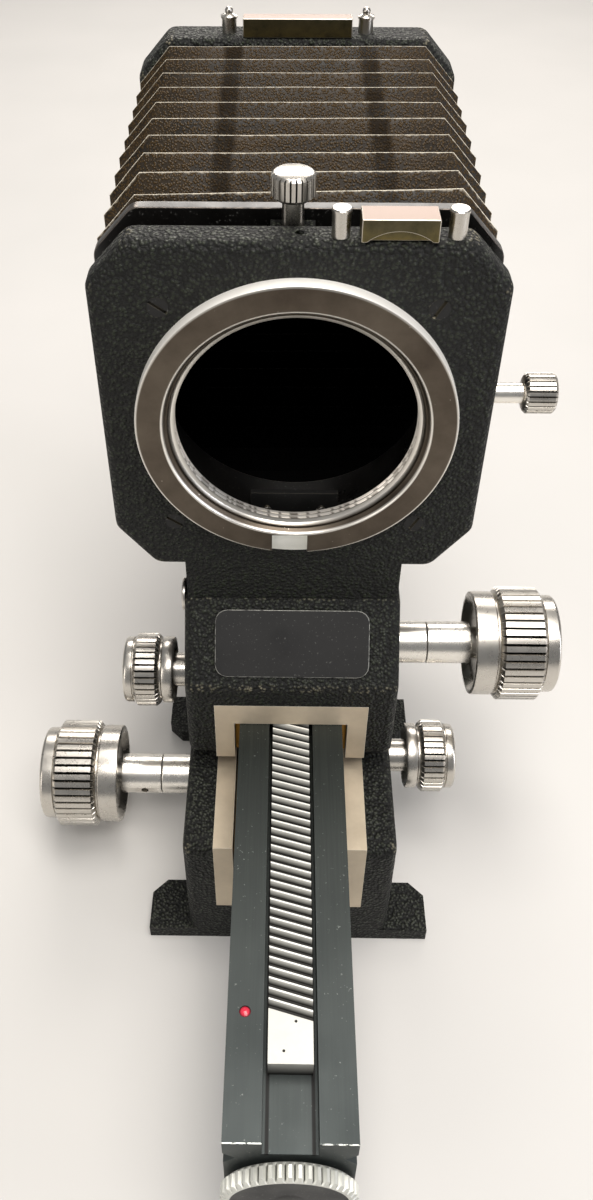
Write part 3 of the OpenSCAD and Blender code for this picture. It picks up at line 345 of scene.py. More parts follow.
def drilled(piece, floor_point, out, r):
    """Drills a round hole from a point on its floor outwards."""
    deselect_all()
    bpy.ops.mesh.primitive_cylinder_add(vertices=drill_sides, radius=r * MM, depth=drill_long * MM,
        location=floor_point + out * drill_long / 2 * MM,
        rotation=out.to_track_quat("Z", "Y").to_euler())
    drill = bpy.context.object
    activated(piece)
    apply_modifier(piece, "BOOLEAN", operation="DIFFERENCE", object=drill, solver="EXACT")
    bpy.data.objects.remove(drill)
    bpy.ops.mesh.customdata_custom_splitnormals_clear()
    even_shading(piece, cast_angle)


pit_floor = Vector((0, (rod_low.y + rod_high.y) / 2, front_top - pit_deep * MM))
drilled(front_casting, pit_floor, upward, pit_r)


# ---- liners ----
# Light alloy guides, milled all over and left bare. They have gone warm and dull, with
# fine mill lines along the rail, and their broken edges are painted brighter as a highlight.
def milled_metal(name, colour, worn, bright, roughness, line_width, along, clean=1.0):
    """Milled metal, more or less clean: cutter lines, dull patches, edges painted brighter as
    highlights and recesses painted dark as shade.

    The lines are drawn as coarse as they need to show.
    """
    made, tree = new_material(name)
    place = node(tree, "TexCoord").outputs["Object"]
    drawn = node(tree, "Mapping", {"Vector": place, "Scale": along})
    lines = node(tree, "TexNoise", {"Vector": drawn, "Scale": 1 / (line_width * MM), "Detail": 2.0})
    patches = node(tree, "TexNoise", {"Vector": place, "Scale": 1 / (8 * MM),
        "Detail": 5.0, "Roughness": 0.65})
    edges = node(tree, "Attribute", attribute_name="edge").outputs["Fac"]
    recess_shade = node(tree, "Attribute", attribute_name="groove").outputs["Fac"]
    # Painted light: the bright colour is a highlight on the broken edges, and the groove marks
    # colour grooves and roots dark as painted shade.
    metal = layered(tree, colour, (patches, 0.3, 0.7, 1.0, worn), (edges, 0.2, 0.9, 1.0, bright),
        (recess_shade, 0.1, 0.9, 1.0, "#1d1b18"))
    bump = node(tree, "Bump", {"Height": lines, "Strength": 0.4, "Distance": 0.03 * MM})
    rough = node(tree, "MapRange", {0: patches, 1: 0.3, 2: 0.7, 3: roughness - 0.06,
        4: roughness + 0.1})
    shader = node(tree, "BsdfPrincipled", {"Base Color": metal, "Metallic": clean,
        "Roughness": rough, "Normal": bump})
    node(tree, "OutputMaterial", {0: shader})
    return made


bare_alloy = milled_metal("bare_milled_alloy", "#beb09a", "#d2c4ad", "#f4efe2", 0.5, 0.3,
    (1, 0.05, 1), 0.4)
for liner in ("block_liner", "rear_liner", "front_liner"):
    deburred(liner, liner + "_milled", 0.25, bare_alloy)


# ---- guide strips ----
# Brass strips, scraped to fit. They lie between the liners and the V grooves of the rail
# and take up its play.
scraped_brass = milled_metal("scraped_brass", "#97753a", "#b48f4e", "#d6b878", 0.4, 0.7, (1, 1, 1))
for strips in ("block_gibs", "rear_gibs", "front_gibs"):
    deburred(strips, strips + "_scraped", 0.1, scraped_brass)


# ---- rail ----
# Extruded alloy bar, anodised black. The draw lines of the die run along it. Light and shade
# are painted into its colour: a bluish grey sheen towards its front end, a highlight along the
# top rim of that end and on its broken edges, and a dark line of shade beside the groove's floor.
rack_low, rack_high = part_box("top_rack")
corner_shade_width = 0.4 * MM
front_sheen_reach = 90 * MM
dot_margin = 3 * MM
rail_low, rail_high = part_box("rail_bar")


def within(tree, value, middle, half, soft):
    """1 where a value lies within half of a middle, fading out over a soft margin."""
    off = node(tree, "Math", {0: value, 1: middle}, operation="SUBTRACT")
    away = node(tree, "Math", {0: off}, operation="ABSOLUTE")
    return node(tree, "MapRange", {0: away, 1: half, 2: half + soft, 3: 1.0, 4: 0.0})


def anodised_bar():
    """Black anodising on drawn alloy: lines along the bar, painted shade beside the groove, painted
    sheen and highlights.

    The lines are drawn as coarse as they need to show.
    """
    made, tree = new_material("black_anodised_alloy")
    place = node(tree, "TexCoord").outputs["Object"]
    drawn = node(tree, "Mapping", {"Vector": place, "Scale": (1, 0.02, 1)})
    lines = node(tree, "TexNoise", {"Vector": drawn, "Scale": 1 / (0.3 * MM), "Detail": 3.0})
    haze = node(tree, "TexNoise", {"Vector": place, "Scale": 1 / (12 * MM), "Detail": 5.0})
    dust_and_sheen = node(tree, "TexNoise", {"Vector": place, "Scale": 1 / (0.5 * MM), "Detail": 2.0})
    edges = node(tree, "Attribute", attribute_name="edge").outputs["Fac"]
    spot = node(tree, "SeparateXYZ", {0: place}).outputs
    # Painted shade: a dark line in each corner of the groove's floor.
    across = node(tree, "Math", {0: spot[0]}, operation="ABSOLUTE")
    corner = within(tree, across, rack_high.x, corner_shade_width / 2, corner_shade_width / 2)
    in_groove = within(tree, spot[2], rack_low.z, corner_shade_width, corner_shade_width)
    recess_shade = node(tree, "Math", {0: corner, 1: in_groove}, operation="MULTIPLY")
    # Painted highlight along the top rim of the front end, broken by the specks.
    rim = within(tree, spot[1], rail_low.y, 0.1 * MM, 0.12 * MM)
    crown = within(tree, spot[2], rail_high.z, 0.2 * MM, 0.1 * MM)
    ridge = node(tree, "Math", {0: crown, 1: rim}, operation="MULTIPLY")
    gaps = node(tree, "MapRange", {0: dust_and_sheen, 1: 0.35, 2: 0.55})
    bright = node(tree, "Math", {0: ridge, 1: gaps}, operation="MULTIPLY")
    # Painted light: paler towards the front end as a sheen, and lighter on the broken edges.
    film = layered(tree, "#20231f", (lines, 0.3, 0.7, 1.0, "#2b2f2a"),
        (spot[1], rail_low.y + front_sheen_reach, rail_low.y, 0.6, "#444b4c"),
        (dust_and_sheen, 0.7, 0.76, 1.0, "#6b6f6c"), (recess_shade, 0.0, 1.0, 1.0, "#050505"),
        (edges, 0.3, 0.9, 1.0, "#5d625e"), (bright, 0.2, 0.6, 1.0, "#e4e8e2"))
    bump = node(tree, "Bump", {"Height": lines, "Strength": 0.25, "Distance": 0.03 * MM})
    rough = node(tree, "MapRange", {0: haze, 1: 0.3, 2: 0.7, 3: 0.42, 4: 0.55})
    shader = node(tree, "BsdfPrincipled", {"Base Color": film, "Metallic": 0.55,
        "Roughness": rough, "Normal": bump})
    node(tree, "OutputMaterial", {0: shader})
    return made


rail = deburred("rail_bar", "rail_extrusion", 0.2, anodised_bar())
dot_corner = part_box("index_dot")[1]
for vertex, mark in zip(rail.data.vertices, rail.data.attributes["edge"].data):
    if (vertex.co - dot_corner).length < dot_margin:
        mark.value = 0.0


# ---- racks ----
# White-metal racks with slanted teeth, milled and set in the grooves of the rail. The teeth
# are bright, painted shade darkens their roots, and two dings mark the plain end on top.
white_metal = milled_metal("milled_white_metal", "#c4c4bd", "#dcdcd5", "#f2f2ec", 0.55, 0.25,
    (1, 1, 1), 0.4)
root_shade_from = 0.9 * MM
root_shade_over = 0.2 * MM
rack_wide = rack_high.x - rack_low.x
under_rack_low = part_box("bottom_rack")[0]
ding_r = 0.24
ding_deep = 1.2
# Each ding's place across and along the plain end, in widths of the rack.
dings = ((0.117, 0.93), (-0.151, 0.28))
for toothed, way, land in (("top_rack", 1, rack_high.z), ("bottom_rack", -1, under_rack_low.z)):
    milled = deburred(toothed, toothed + "_milled", 0.06, white_metal, 1)
    if way > 0:
        for aside, back in dings:
            ding = Vector((aside * rack_wide, rack_low.y + back * rack_wide, land - ding_deep * MM))
            drilled(milled, ding, upward, ding_r)
    # Painted shade: the roots of the teeth are marked to be coloured dark.
    marked(milled, "groove",
        lambda vertex: ((land - vertex.co.z) * way - root_shade_from) / root_shade_over)


# ---- rack dowels ----
# Ground steel dowels, pressed through the racks into the bar. They hold both racks in
# their grooves.
ground_steel = milled_metal("ground_steel", "#77746f", "#8b8883", "#b5b2ac", 0.33, 0.3, (1, 1, 1))
coated(frame["nodes"]["rack_pins"], ground_steel)


# ---- bellows ----
# Leatherette over card stiffeners, glued and folded into ten pleats with eight corners. The
# flat bands stay pebbled and dull, with painted shade between the pebbles, and a thin pale
# line on each fold is a painted highlight, weaker towards the rear, where the folds are also
# rubbed.
fold_round = 0.18 * MM
fold_angle = 60
cloth_angle = 45
band_cuts = 5
pleat_count = 10
first_fold_slant = 1.8 * MM
later_fold_slant = 0.45 * MM
fold_wander = 0.2 * MM
slant_fade = 1.2
wave_size = (18 * MM, 22 * MM)
dent_size = 9 * MM
dent_depth = 0.12 * MM
rubbed_reach = 0.02
unfolded_ends = 0.2
rear_fading = 0.4
streak_places = (-13 * MM, 14.5 * MM)
streak_half = 1.2 * MM
streak_soft = 1.4 * MM

bellows_low, bellows_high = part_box("bellows")
pleat_length = (bellows_high.y - bellows_low.y) / pleat_count
bellows_mid = (bellows_low.z + bellows_high.z) / 2


def settled(place):
    """Where a point of evenly folded bellows really lies: the folds slant and wander."""
    run = (place.y - bellows_low.y) / pleat_length
    held = max(0.0, min(1.0, run / 0.5, (pleat_count - run) / 0.5))
    fresh = math.exp(-slant_fade * max(run - 0.5, 0))
    slant = later_fold_slant + (first_fold_slant - later_fold_slant) * fresh
    wave = noise.noise(Vector((place.x / wave_size[0], run * 1.7, place.z / wave_size[1])))
    dent = noise.noise(Vector((place.x / dent_size, run * 3.1 + 5, place.z / dent_size)))
    along = slant * place.x / bellows_high.x + fold_wander * wave
    inward = Vector((-place.x, 0, bellows_mid - place.z)).normalized()
    return place + held * (Vector((0, along, 0)) + inward * dent_depth * dent)


def fold_share(vertex):
    """The painted highlight on the folds: greatest on a fold's line, less towards the rear, and 0
    beside it.
    """
    run = (vertex.co.y - bellows_low.y) / pleat_length
    if not unfolded_ends < run < pleat_count - unfolded_ends:
        return 0.0
    return (1.0 - abs(run % 1.0 - 0.5) / rubbed_reach) * (1.0 - rear_fading * run / pleat_count)


def inner_share(vertex):
    """1 on the inner skin, which faces the lens axis, and 0 outside."""
    out = Vector((vertex.co.x, 0, vertex.co.z - bellows_mid))
    return 1.0 if vertex.normal.dot(out) < 0 else 0.0


def pebbled_leatherette():
    """Embossed cloth with pebbles 0.42 mm wide, painted dark between them as shade and pale on the
    folds as a highlight, where they are also rubbed.
    """
    made, tree = new_material("pebbled_leatherette")
    place = node(tree, "TexCoord").outputs["Object"]
    pebbles = node(tree, "TexVoronoi", {"Vector": place, "Scale": 1 / (0.42 * MM)})
    soil = node(tree, "TexNoise", {"Vector": place, "Scale": 1 / (7 * MM), "Detail": 4.0})
    broken = node(tree, "TexNoise", {"Vector": place, "Scale": 1 / (0.9 * MM), "Detail": 2.0})
    spot = node(tree, "SeparateXYZ", {0: place})
    left, right = (within(tree, spot, middle, streak_half, streak_soft) for middle in streak_places)
    streaks = node(tree, "Math", {0: left, 1: right}, operation="MAXIMUM")
    folds = node(tree, "Attribute", attribute_name="fold").outputs["Fac"]
    inside = node(tree, "Attribute", attribute_name="inside").outputs["Fac"]
    # Painted highlight along the folds, broken up by noise.
    whole = node(tree, "MapRange", {0: broken, 1: 0.3, 2: 0.7, 3: 0.55, 4: 1.0})
    rubbed = node(tree, "Math", {0: folds, 1: whole}, operation="MULTIPLY")
    # Painted shade: the creases between the pebbles are coloured dark.
    crests = node(tree, "MapRange", {0: pebbles, 1: 0.1, 2: 0.6})
    faded = node(tree, "Math", {0: streaks, 1: soil}, operation="MULTIPLY")
    streak = node(tree, "MapRange", {0: faded, 1: 0.15, 2: 0.6, 4: 0.6})
    cloth = layered(tree, "#46330f", (crests, 0.0, 1.0, 1.0, "#140e04"),
        (soil, 0.35, 0.75, 0.45, "#3d2c0f"), (streak, 0.0, 1.0, 1.0, "#0a0806"),
        (rubbed, 0.2, 0.45, 1.0, "#e2dac8"), (inside, 0.0, 1.0, 1.0, "#060606"))
    bump = node(tree, "Bump", {"Height": crests, "Strength": 0.9, "Distance": 0.12 * MM},
        invert=True)
    dull = node(tree, "Math", {0: streak, 1: inside}, operation="MAXIMUM")
    rough = node(tree, "MapRange", {0: dull, 3: 0.45, 4: 0.85})
    gloss = node(tree, "MapRange", {0: dull, 3: 0.28, 4: 0.05})
    shader = node(tree, "BsdfPrincipled", {"Base Color": cloth,
        "Roughness": rough, "Specular IOR Level": gloss,
        "Normal": bump})
    node(tree, "OutputMaterial", {0: shader})
    return made


bellows = whole_copy("bellows", "bellows_pleats")
apply_modifier(bellows, "BEVEL", width=fold_round, segments=2, limit_method="ANGLE",
    angle_limit=math.radians(fold_angle))
bpy.ops.object.mode_set(mode="EDIT")
bpy.ops.mesh.select_all(action="SELECT")
bpy.ops.mesh.subdivide(number_cuts=band_cuts)
bpy.ops.object.mode_set(mode="OBJECT")
marked(bellows, "fold", fold_share)
marked(bellows, "inside", inner_share)
for vertex in bellows.data.vertices:
    vertex.co = settled(vertex.co)
bpy.ops.object.shade_smooth_by_angle(angle=math.radians(cloth_angle))
coated(bellows, pebbled_leatherette())
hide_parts("bellows")
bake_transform(bellows)


# ---- bellows plate, rear frame and nameplate ----
# Stamped plates in black lacquer, glossy on the bellows and satin on the nameplate, and
# rubbed pale along their edges. The nameplate is blank.
def black_lacquer(name, colour, roughness, rubbed):
    """Thin lacquer over metal: smooth, faintly scratched, rubbed through at the edges."""
    made, tree = new_material(name)
    place = node(tree, "TexCoord").outputs["Object"]
    haze = node(tree, "TexNoise", {"Vector": place, "Scale": 1 / (6 * MM), "Detail": 6.0})
    chips = node(tree, "TexNoise", {"Vector": place, "Scale": 1 / (1.2 * MM), "Detail": 3.0})
    dust_and_sheen = node(tree, "TexNoise", {"Vector": place, "Scale": 1 / (0.4 * MM), "Detail": 1.0})
    edges = node(tree, "Attribute", attribute_name="edge").outputs["Fac"]
    chipped = node(tree, "MapRange", {0: chips, 1: 0.3, 2: 0.55})
    through = node(tree, "Math", {0: edges, 1: chipped}, operation="MULTIPLY")
    film = layered(tree, colour, (dust_and_sheen, 0.68, 0.76, 1.0, "#4a4a48"),
        (through, 0.0, 1.0, 1.0, rubbed))
    bump = node(tree, "Bump", {"Height": chips, "Strength": 0.15, "Distance": 0.03 * MM})
    rough = node(tree, "MapRange", {0: haze, 1: 0.3, 2: 0.7,
        3: roughness - 0.05, 4: roughness + 0.1})
    shader = node(tree, "BsdfPrincipled", {"Base Color": film, "Metallic": through,
        "Roughness": rough, "Normal": bump})
    node(tree, "OutputMaterial", {0: shader})
    return made


gloss_lacquer = black_lacquer("gloss_black_lacquer", "#0b0a09", 0.3, "#726a63")
satin_lacquer = black_lacquer("satin_black_lacquer", "#131313", 0.5, "#c9c9c2")
deburred("bellows_front_plate", "bellows_plate_stamped", 0.2, gloss_lacquer)
deburred("bellows_rear_frame", "bellows_frame_stamped", 0.15, gloss_lacquer)
deburred("nameplate_blank", "nameplate_stamped", 0.16, satin_lacquer)


# ---- drive knobs ----
# Turned from bar, milled with straight grooves and plated with nickel. Painted shade
# darkens the floors of the grooves.
pole_r = 0.05
pole_merge = 0.0005 * MM
points_per_tooth = 6
turned_angle = 32
grip_lead = 0.9
grip_rest = 0.8
reach_slack = 0.01
rim_slack = 0.05


def turned(name, place, along, outline, sides):
    """A piece turned about an axis: its outline is a list of (radius, distance), in mm."""
    deselect_all()
    axis = Vector(along)
    across = [0 if abs(c) > 0.5 else 1 for c in axis]
    base = Vector(place)
    open_ring = outline[0] == outline[-1]
    bpy.ops.mesh.primitive_circle_add(vertices=sides, radius=outline[0][0] * MM,
        fill_type="NOTHING" if open_ring else "NGON", location=base + axis * outline[0][1] * MM,
        rotation=axis.to_track_quat("Z", "Y").to_euler())
    piece = bpy.context.object
    piece.name = name
    bpy.ops.object.transform_apply(location=True, rotation=True, scale=True)
    bpy.ops.object.mode_set(mode="EDIT")
    bpy.ops.mesh.select_all(action="SELECT")
    for (r0, d0), (r1, d1) in zip(outline, outline[1:]):
        bpy.ops.mesh.extrude_region_move(TRANSFORM_OT_translate={"value": axis * (d1 - d0) * MM})
        bpy.ops.transform.resize(value=[r1 / r0 if c else 1 for c in across],
            center_override=base + axis * d1 * MM)
    bpy.ops.mesh.select_all(action="SELECT")
    bpy.ops.mesh.remove_doubles(threshold=pole_merge)
    bpy.ops.mesh.normals_make_consistent(inside=False)
    bpy.ops.object.mode_set(mode="OBJECT")
    return piece


def grooved(piece, place, along, reach, r, depth, teeth, flare):
    """Mills straight grooves in the rim between two distances, and notes them for painted shade.

    Points beside the middle of a groove go down by the share of its depth called flare.
    """
    axis = Vector(along)
    base = Vector(place)
    across = [0 if abs(c) > 0.5 else 1 for c in axis]
    first = axis.to_track_quat("Z", "Y") @ Vector((0, 1, 0))
    second = axis.cross(first)
    step = 2 * math.pi / (teeth * points_per_tooth)
    bpy.ops.object.mode_set(mode="EDIT")
    bpy.ops.mesh.select_mode(type="VERT")
    cut = set()
    for off, deep in ((0, depth), (-1, depth * flare), (1, depth * flare)):
        bpy.ops.mesh.select_all(action="DESELECT")
        mesh = bmesh.from_edit_mesh(piece.data)
        for vertex in mesh.verts:
            out = vertex.co - base
            turn = round(math.atan2(out.dot(second), out.dot(first)) / step)
            far = out.dot(axis) / MM
            in_reach = reach[0] - reach_slack < far < reach[1] + reach_slack
            at_rim = (out - axis * far * MM).length > (r - rim_slack) * MM
            on_line = turn % points_per_tooth == points_per_tooth // 2 + off
            vertex.select = in_reach and at_rim and on_line
            if vertex.select and off == 0:
                cut.add(vertex.index)
        mesh.select_flush_mode()
        bmesh.update_edit_mesh(piece.data)
        bpy.ops.transform.resize(value=[(r - deep) / r if c else 1 for c in across],
            center_override=base)
    bpy.ops.object.mode_set(mode="OBJECT")
    marked(piece, "groove", lambda vertex: 1.0 if vertex.index in cut else 0.0)


def knob_outline(neck, bore, disc, grip, cap):
    """Half of a knob's section, from the floor of its bore to the middle of its crown.

    Each part is given by its radius and length, and the grip also by its grooves' depth.
    """
    face, joint, crown = neck[1], neck[1] + disc[1], neck[1] + disc[1] + grip[1]
    dish = face + 0.3 * disc[1]
    top = crown + cap[1]
    gap_r = disc[0] - 0.8
    end_r = grip[0] - grip[2] - 0.1
    outline = [(pole_r, bore[1]), (bore[0], bore[1])]
    if neck[1] > 0:
        outline += [(bore[0], 0), (neck[0] - 0.2, 0), (neck[0], 0.2), (neck[0], dish - 0.4),
            (neck[0] + 0.12, dish - 0.12), (neck[0] + 0.4, dish)]
    else:
        outline += [(bore[0], dish)]
    return outline + [
        (disc[0] - 2.4, dish), (disc[0] - 1.2, face + 0.12), (disc[0] - 1.05, face),
        (disc[0] - 0.45, face), (disc[0] - 0.12, face + 0.12), (disc[0], face + 0.45),
        (disc[0], joint - 0.6), (disc[0] - 0.08, joint - 0.45), (gap_r, joint - 0.12),
        (gap_r, joint + 0.12), (end_r, joint + 0.25), (grip[0], joint + 0.95),
        (grip[0], crown - 0.85), (end_r, crown - 0.2), (cap[0] - 0.3, crown - 0.05),
        (cap[0] - 0.3, crown + 0.1), (cap[0], crown + 0.25), (cap[0], top - 0.75),
        (cap[0] - 0.1, top - 0.4), (cap[0] - 0.35, top - 0.13), (cap[0] - 0.75, top),
        (cap[0] - 1.9, top), (cap[0] - 2.1, top - 0.12), (pole_r, top - 0.12)]


def plated(name, colour, worn, groove_shade, roughness):
    """Nickel plate over turned metal: tool marks under a gloss that handling has hazed."""
    made, tree = new_material(name)
    place = node(tree, "TexCoord").outputs["Object"]
    haze = node(tree, "TexNoise", {"Vector": place, "Scale": 1 / (3.5 * MM),
        "Detail": 6.0, "Roughness": 0.7})
    specks = node(tree, "TexNoise", {"Vector": place, "Scale": 1 / (0.35 * MM), "Detail": 2.0})
    recess_shade = node(tree, "Attribute", attribute_name="groove").outputs["Fac"]
    edges = node(tree, "Attribute", attribute_name="edge").outputs["Fac"]
    # Painted light: groove floors take the dark shade colour, and broken edges a pale highlight.
    metal = layered(tree, colour, (haze, 0.3, 0.7, 1.0, worn), (recess_shade, 0.1, 0.75, 1.0, groove_shade),
        (edges, 0.3, 0.9, 1.0, "#efebe3"))
    bump = node(tree, "Bump", {"Height": specks, "Strength": 0.12, "Distance": 0.02 * MM})
    rough = node(tree, "MapRange", {0: haze, 1: 0.3, 2: 0.7, 3: roughness - 0.02,
        4: roughness + 0.04})
    shader = node(tree, "BsdfPrincipled", {"Base Color": metal, "Metallic": 1.0,
        "Roughness": rough, "Normal": bump})
    node(tree, "OutputMaterial", {0: shader})
    return made


nickel = plated("bright_nickel_plate", "#c4bfb7", "#cecac2", "#1c1916", 0.27)


def foot_of(cad_node, along):
    """The middle of the CAD node's face at which an axis starts."""
    low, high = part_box(cad_node)
    middle = (low + high) / 2
    for i, way in enumerate(along):
        if way:
            middle[i] = low[i] if way > 0 else high[i]
    return middle


def knurled(cad_node, name, along, outline, grip, reach, teeth, material, flare=0.0):
    """A turned piece with a grooved grip, whose radius comes first and its depth last."""
    foot = foot_of(cad_node, along)
    piece = turned(name, foot, along, outline, teeth * points_per_tooth)
    grooved(piece, foot, along, reach, grip[0], grip[-1], teeth, flare)
    activated(piece)
    fitted(piece, cad_node, material, turned_angle)
    return piece


drive_disc = (11.1, 4.8)
drive_grip = (12.1, 9.7, 0.75)
drive_teeth = 44
drive_outline = knob_outline((3.4, 0), (3.4, 6.0), drive_disc, drive_grip, (10.4, 3.1))
drive_reach = (drive_disc[1] + grip_lead, drive_disc[1] + drive_grip[1] - grip_rest)
for cad_node, side in (("front_drive_knob", 1), ("block_drive_knob", -1)):
    knurled(cad_node, cad_node + "_turned", (side, 0, 0), drive_outline, drive_grip, drive_reach,
        drive_teeth, nickel)


# ---- lock knobs ----
# The same knobs one size smaller. Each has its own neck, which bears on the wall when
# the screw inside is tightened.
lock_neck = (3.7, 4.2)
lock_disc = (7.3, 2.9)
lock_grip = (8.05, 5.9, 0.6)
lock_teeth = 36
lock_joint = lock_neck[1] + lock_disc[1]
lock_outline = knob_outline(lock_neck, (2.0, lock_joint), lock_disc, lock_grip, (7.2, 2.1))
lock_reach = (lock_joint + grip_lead, lock_joint + lock_grip[1] - grip_rest)
for cad_node, side in (("front_lock_knob", -1), ("block_lock_knob", 1)):
    knurled(cad_node, cad_node + "_turned", (side, 0, 0), lock_outline, lock_grip, lock_reach,
        lock_teeth, nickel)
for cad_node in ("front_lock_screw", "block_lock_screw"):
    coated(frame["nodes"][cad_node], ground_steel)


# ---- drive shafts, bushes and pinions ----
# Turned shafts in bushes, all plated. Each shaft has a hole across its outer end, where its
# knob is fastened, and its pinion is hobbed on its inner stretch.
cross_hole_r = 0.85
cross_hole_deep = 1.4
neck_r = 4.5
# The hole's place along each shaft in mm, and its turn about it in degrees.
cross_hole_places = {"front_drive_shaft": (33.1, 45), "block_drive_shaft": (-33.3, 186)}

for cad_node in ("front_drive_bush", "block_drive_bush"):
    deburred(cad_node, cad_node + "_turned", 0.3, nickel)
for cad_node, (hole_x, hole_turn) in cross_hole_places.items():
    shaft = deburred(cad_node, cad_node + "_turned", 0.3, nickel)
    middle = foot_of(cad_node, (1, 0, 0))
    out = Vector((0, math.cos(math.radians(hole_turn)), math.sin(math.radians(hole_turn))))
    hole_floor = Vector((hole_x * MM, middle.y, middle.z)) + out * (neck_r - cross_hole_deep) * MM
    drilled(shaft, hole_floor, out, cross_hole_r)
for cad_node in ("front_pinion", "block_pinion"):
    deburred(cad_node, cad_node + "_hobbed", 0.06, ground_steel, 1)


# ---- lens ring and camera ring ----
# Turned rings with the 42 mm screw: inside the front one, outside the rear one. Their faces
# are satin and hazed. Light is painted on the front one: its face is dark warm brown as a
# painted reflection, its outer side, turned edges and thread crests are painted pale as
# highlights, and its thread roots and the step of its bevel are painted dark as shade.
thread_pitch = 1.0
thread_depth = 0.5
ring_angle = 28
ring_sides = 256


def thread_turns(crest_r, root_r, start, end):
    """The crests and roots of a thread, between two distances along its axis."""
    outline = []
    turn = start
    while turn + thread_pitch <= end + 0.01:
        outline += [(crest_r, turn), (crest_r, turn + 0.14), (root_r, turn + 0.5),
            (root_r, turn + 0.6)]
        turn += thread_pitch
    return outline + [(crest_r, turn - 0.04)]


def hazed_face(name, colour, worn, axis_z, roughness):
    """Satin nickel, faced on the lathe: circles round the lens axis.

    The circles are drawn as coarse as they need to show.
    """
    made, tree = new_material(name)
    place = node(tree, "TexCoord").outputs["Object"]
    centred = node(tree, "Mapping", {"Vector": place, "Location": (0, 0, -axis_z),
        "Scale": (1, 0, 1)})
    away = node(tree, "VectorMath", {0: centred}, operation="LENGTH")
    circles = node(tree, "TexNoise", {"W": away.outputs["Value"],
        "Scale": 1 / (0.25 * MM), "Detail": 2.0}, noise_dimensions="1D")
    haze = node(tree, "TexNoise", {"Vector": place, "Scale": 1 / (11 * MM),
        "Detail": 6.0, "Roughness": 0.6})
    nicks = node(tree, "TexNoise", {"Vector": place, "Scale": 1 / (0.6 * MM), "Detail": 1.0})
    bright = node(tree, "Attribute", attribute_name="edge").outputs["Fac"]
    recess_shade = node(tree, "Attribute", attribute_name="groove").outputs["Fac"]
    # Painted light: roots take a dark colour as shade, and turned edges a pale one as highlights.
    metal = layered(tree, colour, (haze, 0.3, 0.7, 1.0, worn), (nicks, 0.75, 0.8, 1.0, "#b8afa3"),
        (recess_shade, 0.0, 1.0, 1.0, "#14110e"), (bright, 0.0, 1.0, 1.0, "#f2eee6"))
    bump = node(tree, "Bump", {"Height": circles, "Strength": 0.25, "Distance": 0.02 * MM})
    satin = node(tree, "MapRange", {0: haze, 1: 0.3, 2: 0.7, 3: roughness - 0.06,
        4: roughness + 0.1})
    rough = node(tree, "Mix", {0: bright, 2: satin, 3: 0.34})
    shader = node(tree, "BsdfPrincipled", {"Base Color": metal, "Metallic": 1.0,
        "Roughness": rough, "Normal": bump})
    node(tree, "OutputMaterial", {0: shader})
    return made


ring_low, ring_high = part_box("lens_ring")
lens_axis = Vector((0, ring_low.y, (ring_low.z + ring_high.z) / 2))
ring_r = (ring_high.x - ring_low.x) / 2 / MM
ring_deep = (ring_high.y - ring_low.y) / MM
ring_face_r = 22.48
ring_seat = 2.56
ring_spigot_r = 24.0
thread_r = 20.5
bevel_foot = 21.1
notch_at = -0.8
notch_wide = 6.4
notch_deep = 0.9
notch_inner = ring_face_r + 0.2
notch_outer = ring_r + 2.0

# A paler copy of the metal for the ring's outer side: a painted highlight.
highlight_rim_metal = milled_metal("painted_highlight_rim", "#e4e2da", "#efede6", "#f8f6f0", 0.45, 0.3,
    (1, 1, 1), 0.4)
# Painted reflection: the face is coloured dark warm brown, as if it mirrored dark surroundings.
faced_nickel = hazed_face("faced_nickel_plate", "#4a423a", "#6c6358", lens_axis.z, 0.38)
ring_outline = ([(ring_face_r - 0.12, 0.22), (ring_face_r, 0.06), (ring_face_r + 0.12, 0),
    (ring_face_r + 0.3, 0), (ring_r - 0.5, 0), (ring_r - 0.15, 0.12), (ring_r, 0.45),
    (ring_r, ring_seat), (ring_spigot_r, ring_seat), (ring_spigot_r, ring_deep)]
    + list(reversed(thread_turns(thread_r, thread_r + thread_depth, 2.08, ring_deep)))
    + [(bevel_foot, 1.78), (bevel_foot + 0.38, 1.22), (bevel_foot + 0.42, 1.05),
       (bevel_foot + 0.72, 0.98), (ring_face_r - 0.3, 0.5), (ring_face_r - 0.12, 0.22)])
lens_ring = turned("lens_mount_ring", lens_axis, (0, 1, 0), ring_outline, ring_sides)


def lens_ring_edge(vertex):
    """Painted highlight mask: 1 on the turned outside, the lip and the bevel, and less on the
    crests of the thread.
    """
    out = vertex.co - lens_axis
    deep = out.y / MM
    r = math.hypot(out.x, out.z) / MM
    lip = abs(r - ring_face_r) < 0.13 and deep < 0.25
    if r > ring_r - 0.2 or lip or abs(r - bevel_foot) < 0.1:
        return 1.0
    return 0.45 if r < thread_r + 0.05 else 0.0


def lens_ring_shade(vertex):
    """Painted shade mask: 1 in the step of the bevel, and less at the roots of the thread."""
    out = vertex.co - lens_axis
    deep = out.y / MM
    r = math.hypot(out.x, out.z) / MM
    root = abs(r - thread_r - thread_depth) < 0.03 and deep > 2.2
    if abs(r - bevel_foot - 0.42) < 0.05 and deep < 1.1:
        return 1.0
    return 0.6 if root else 0.0


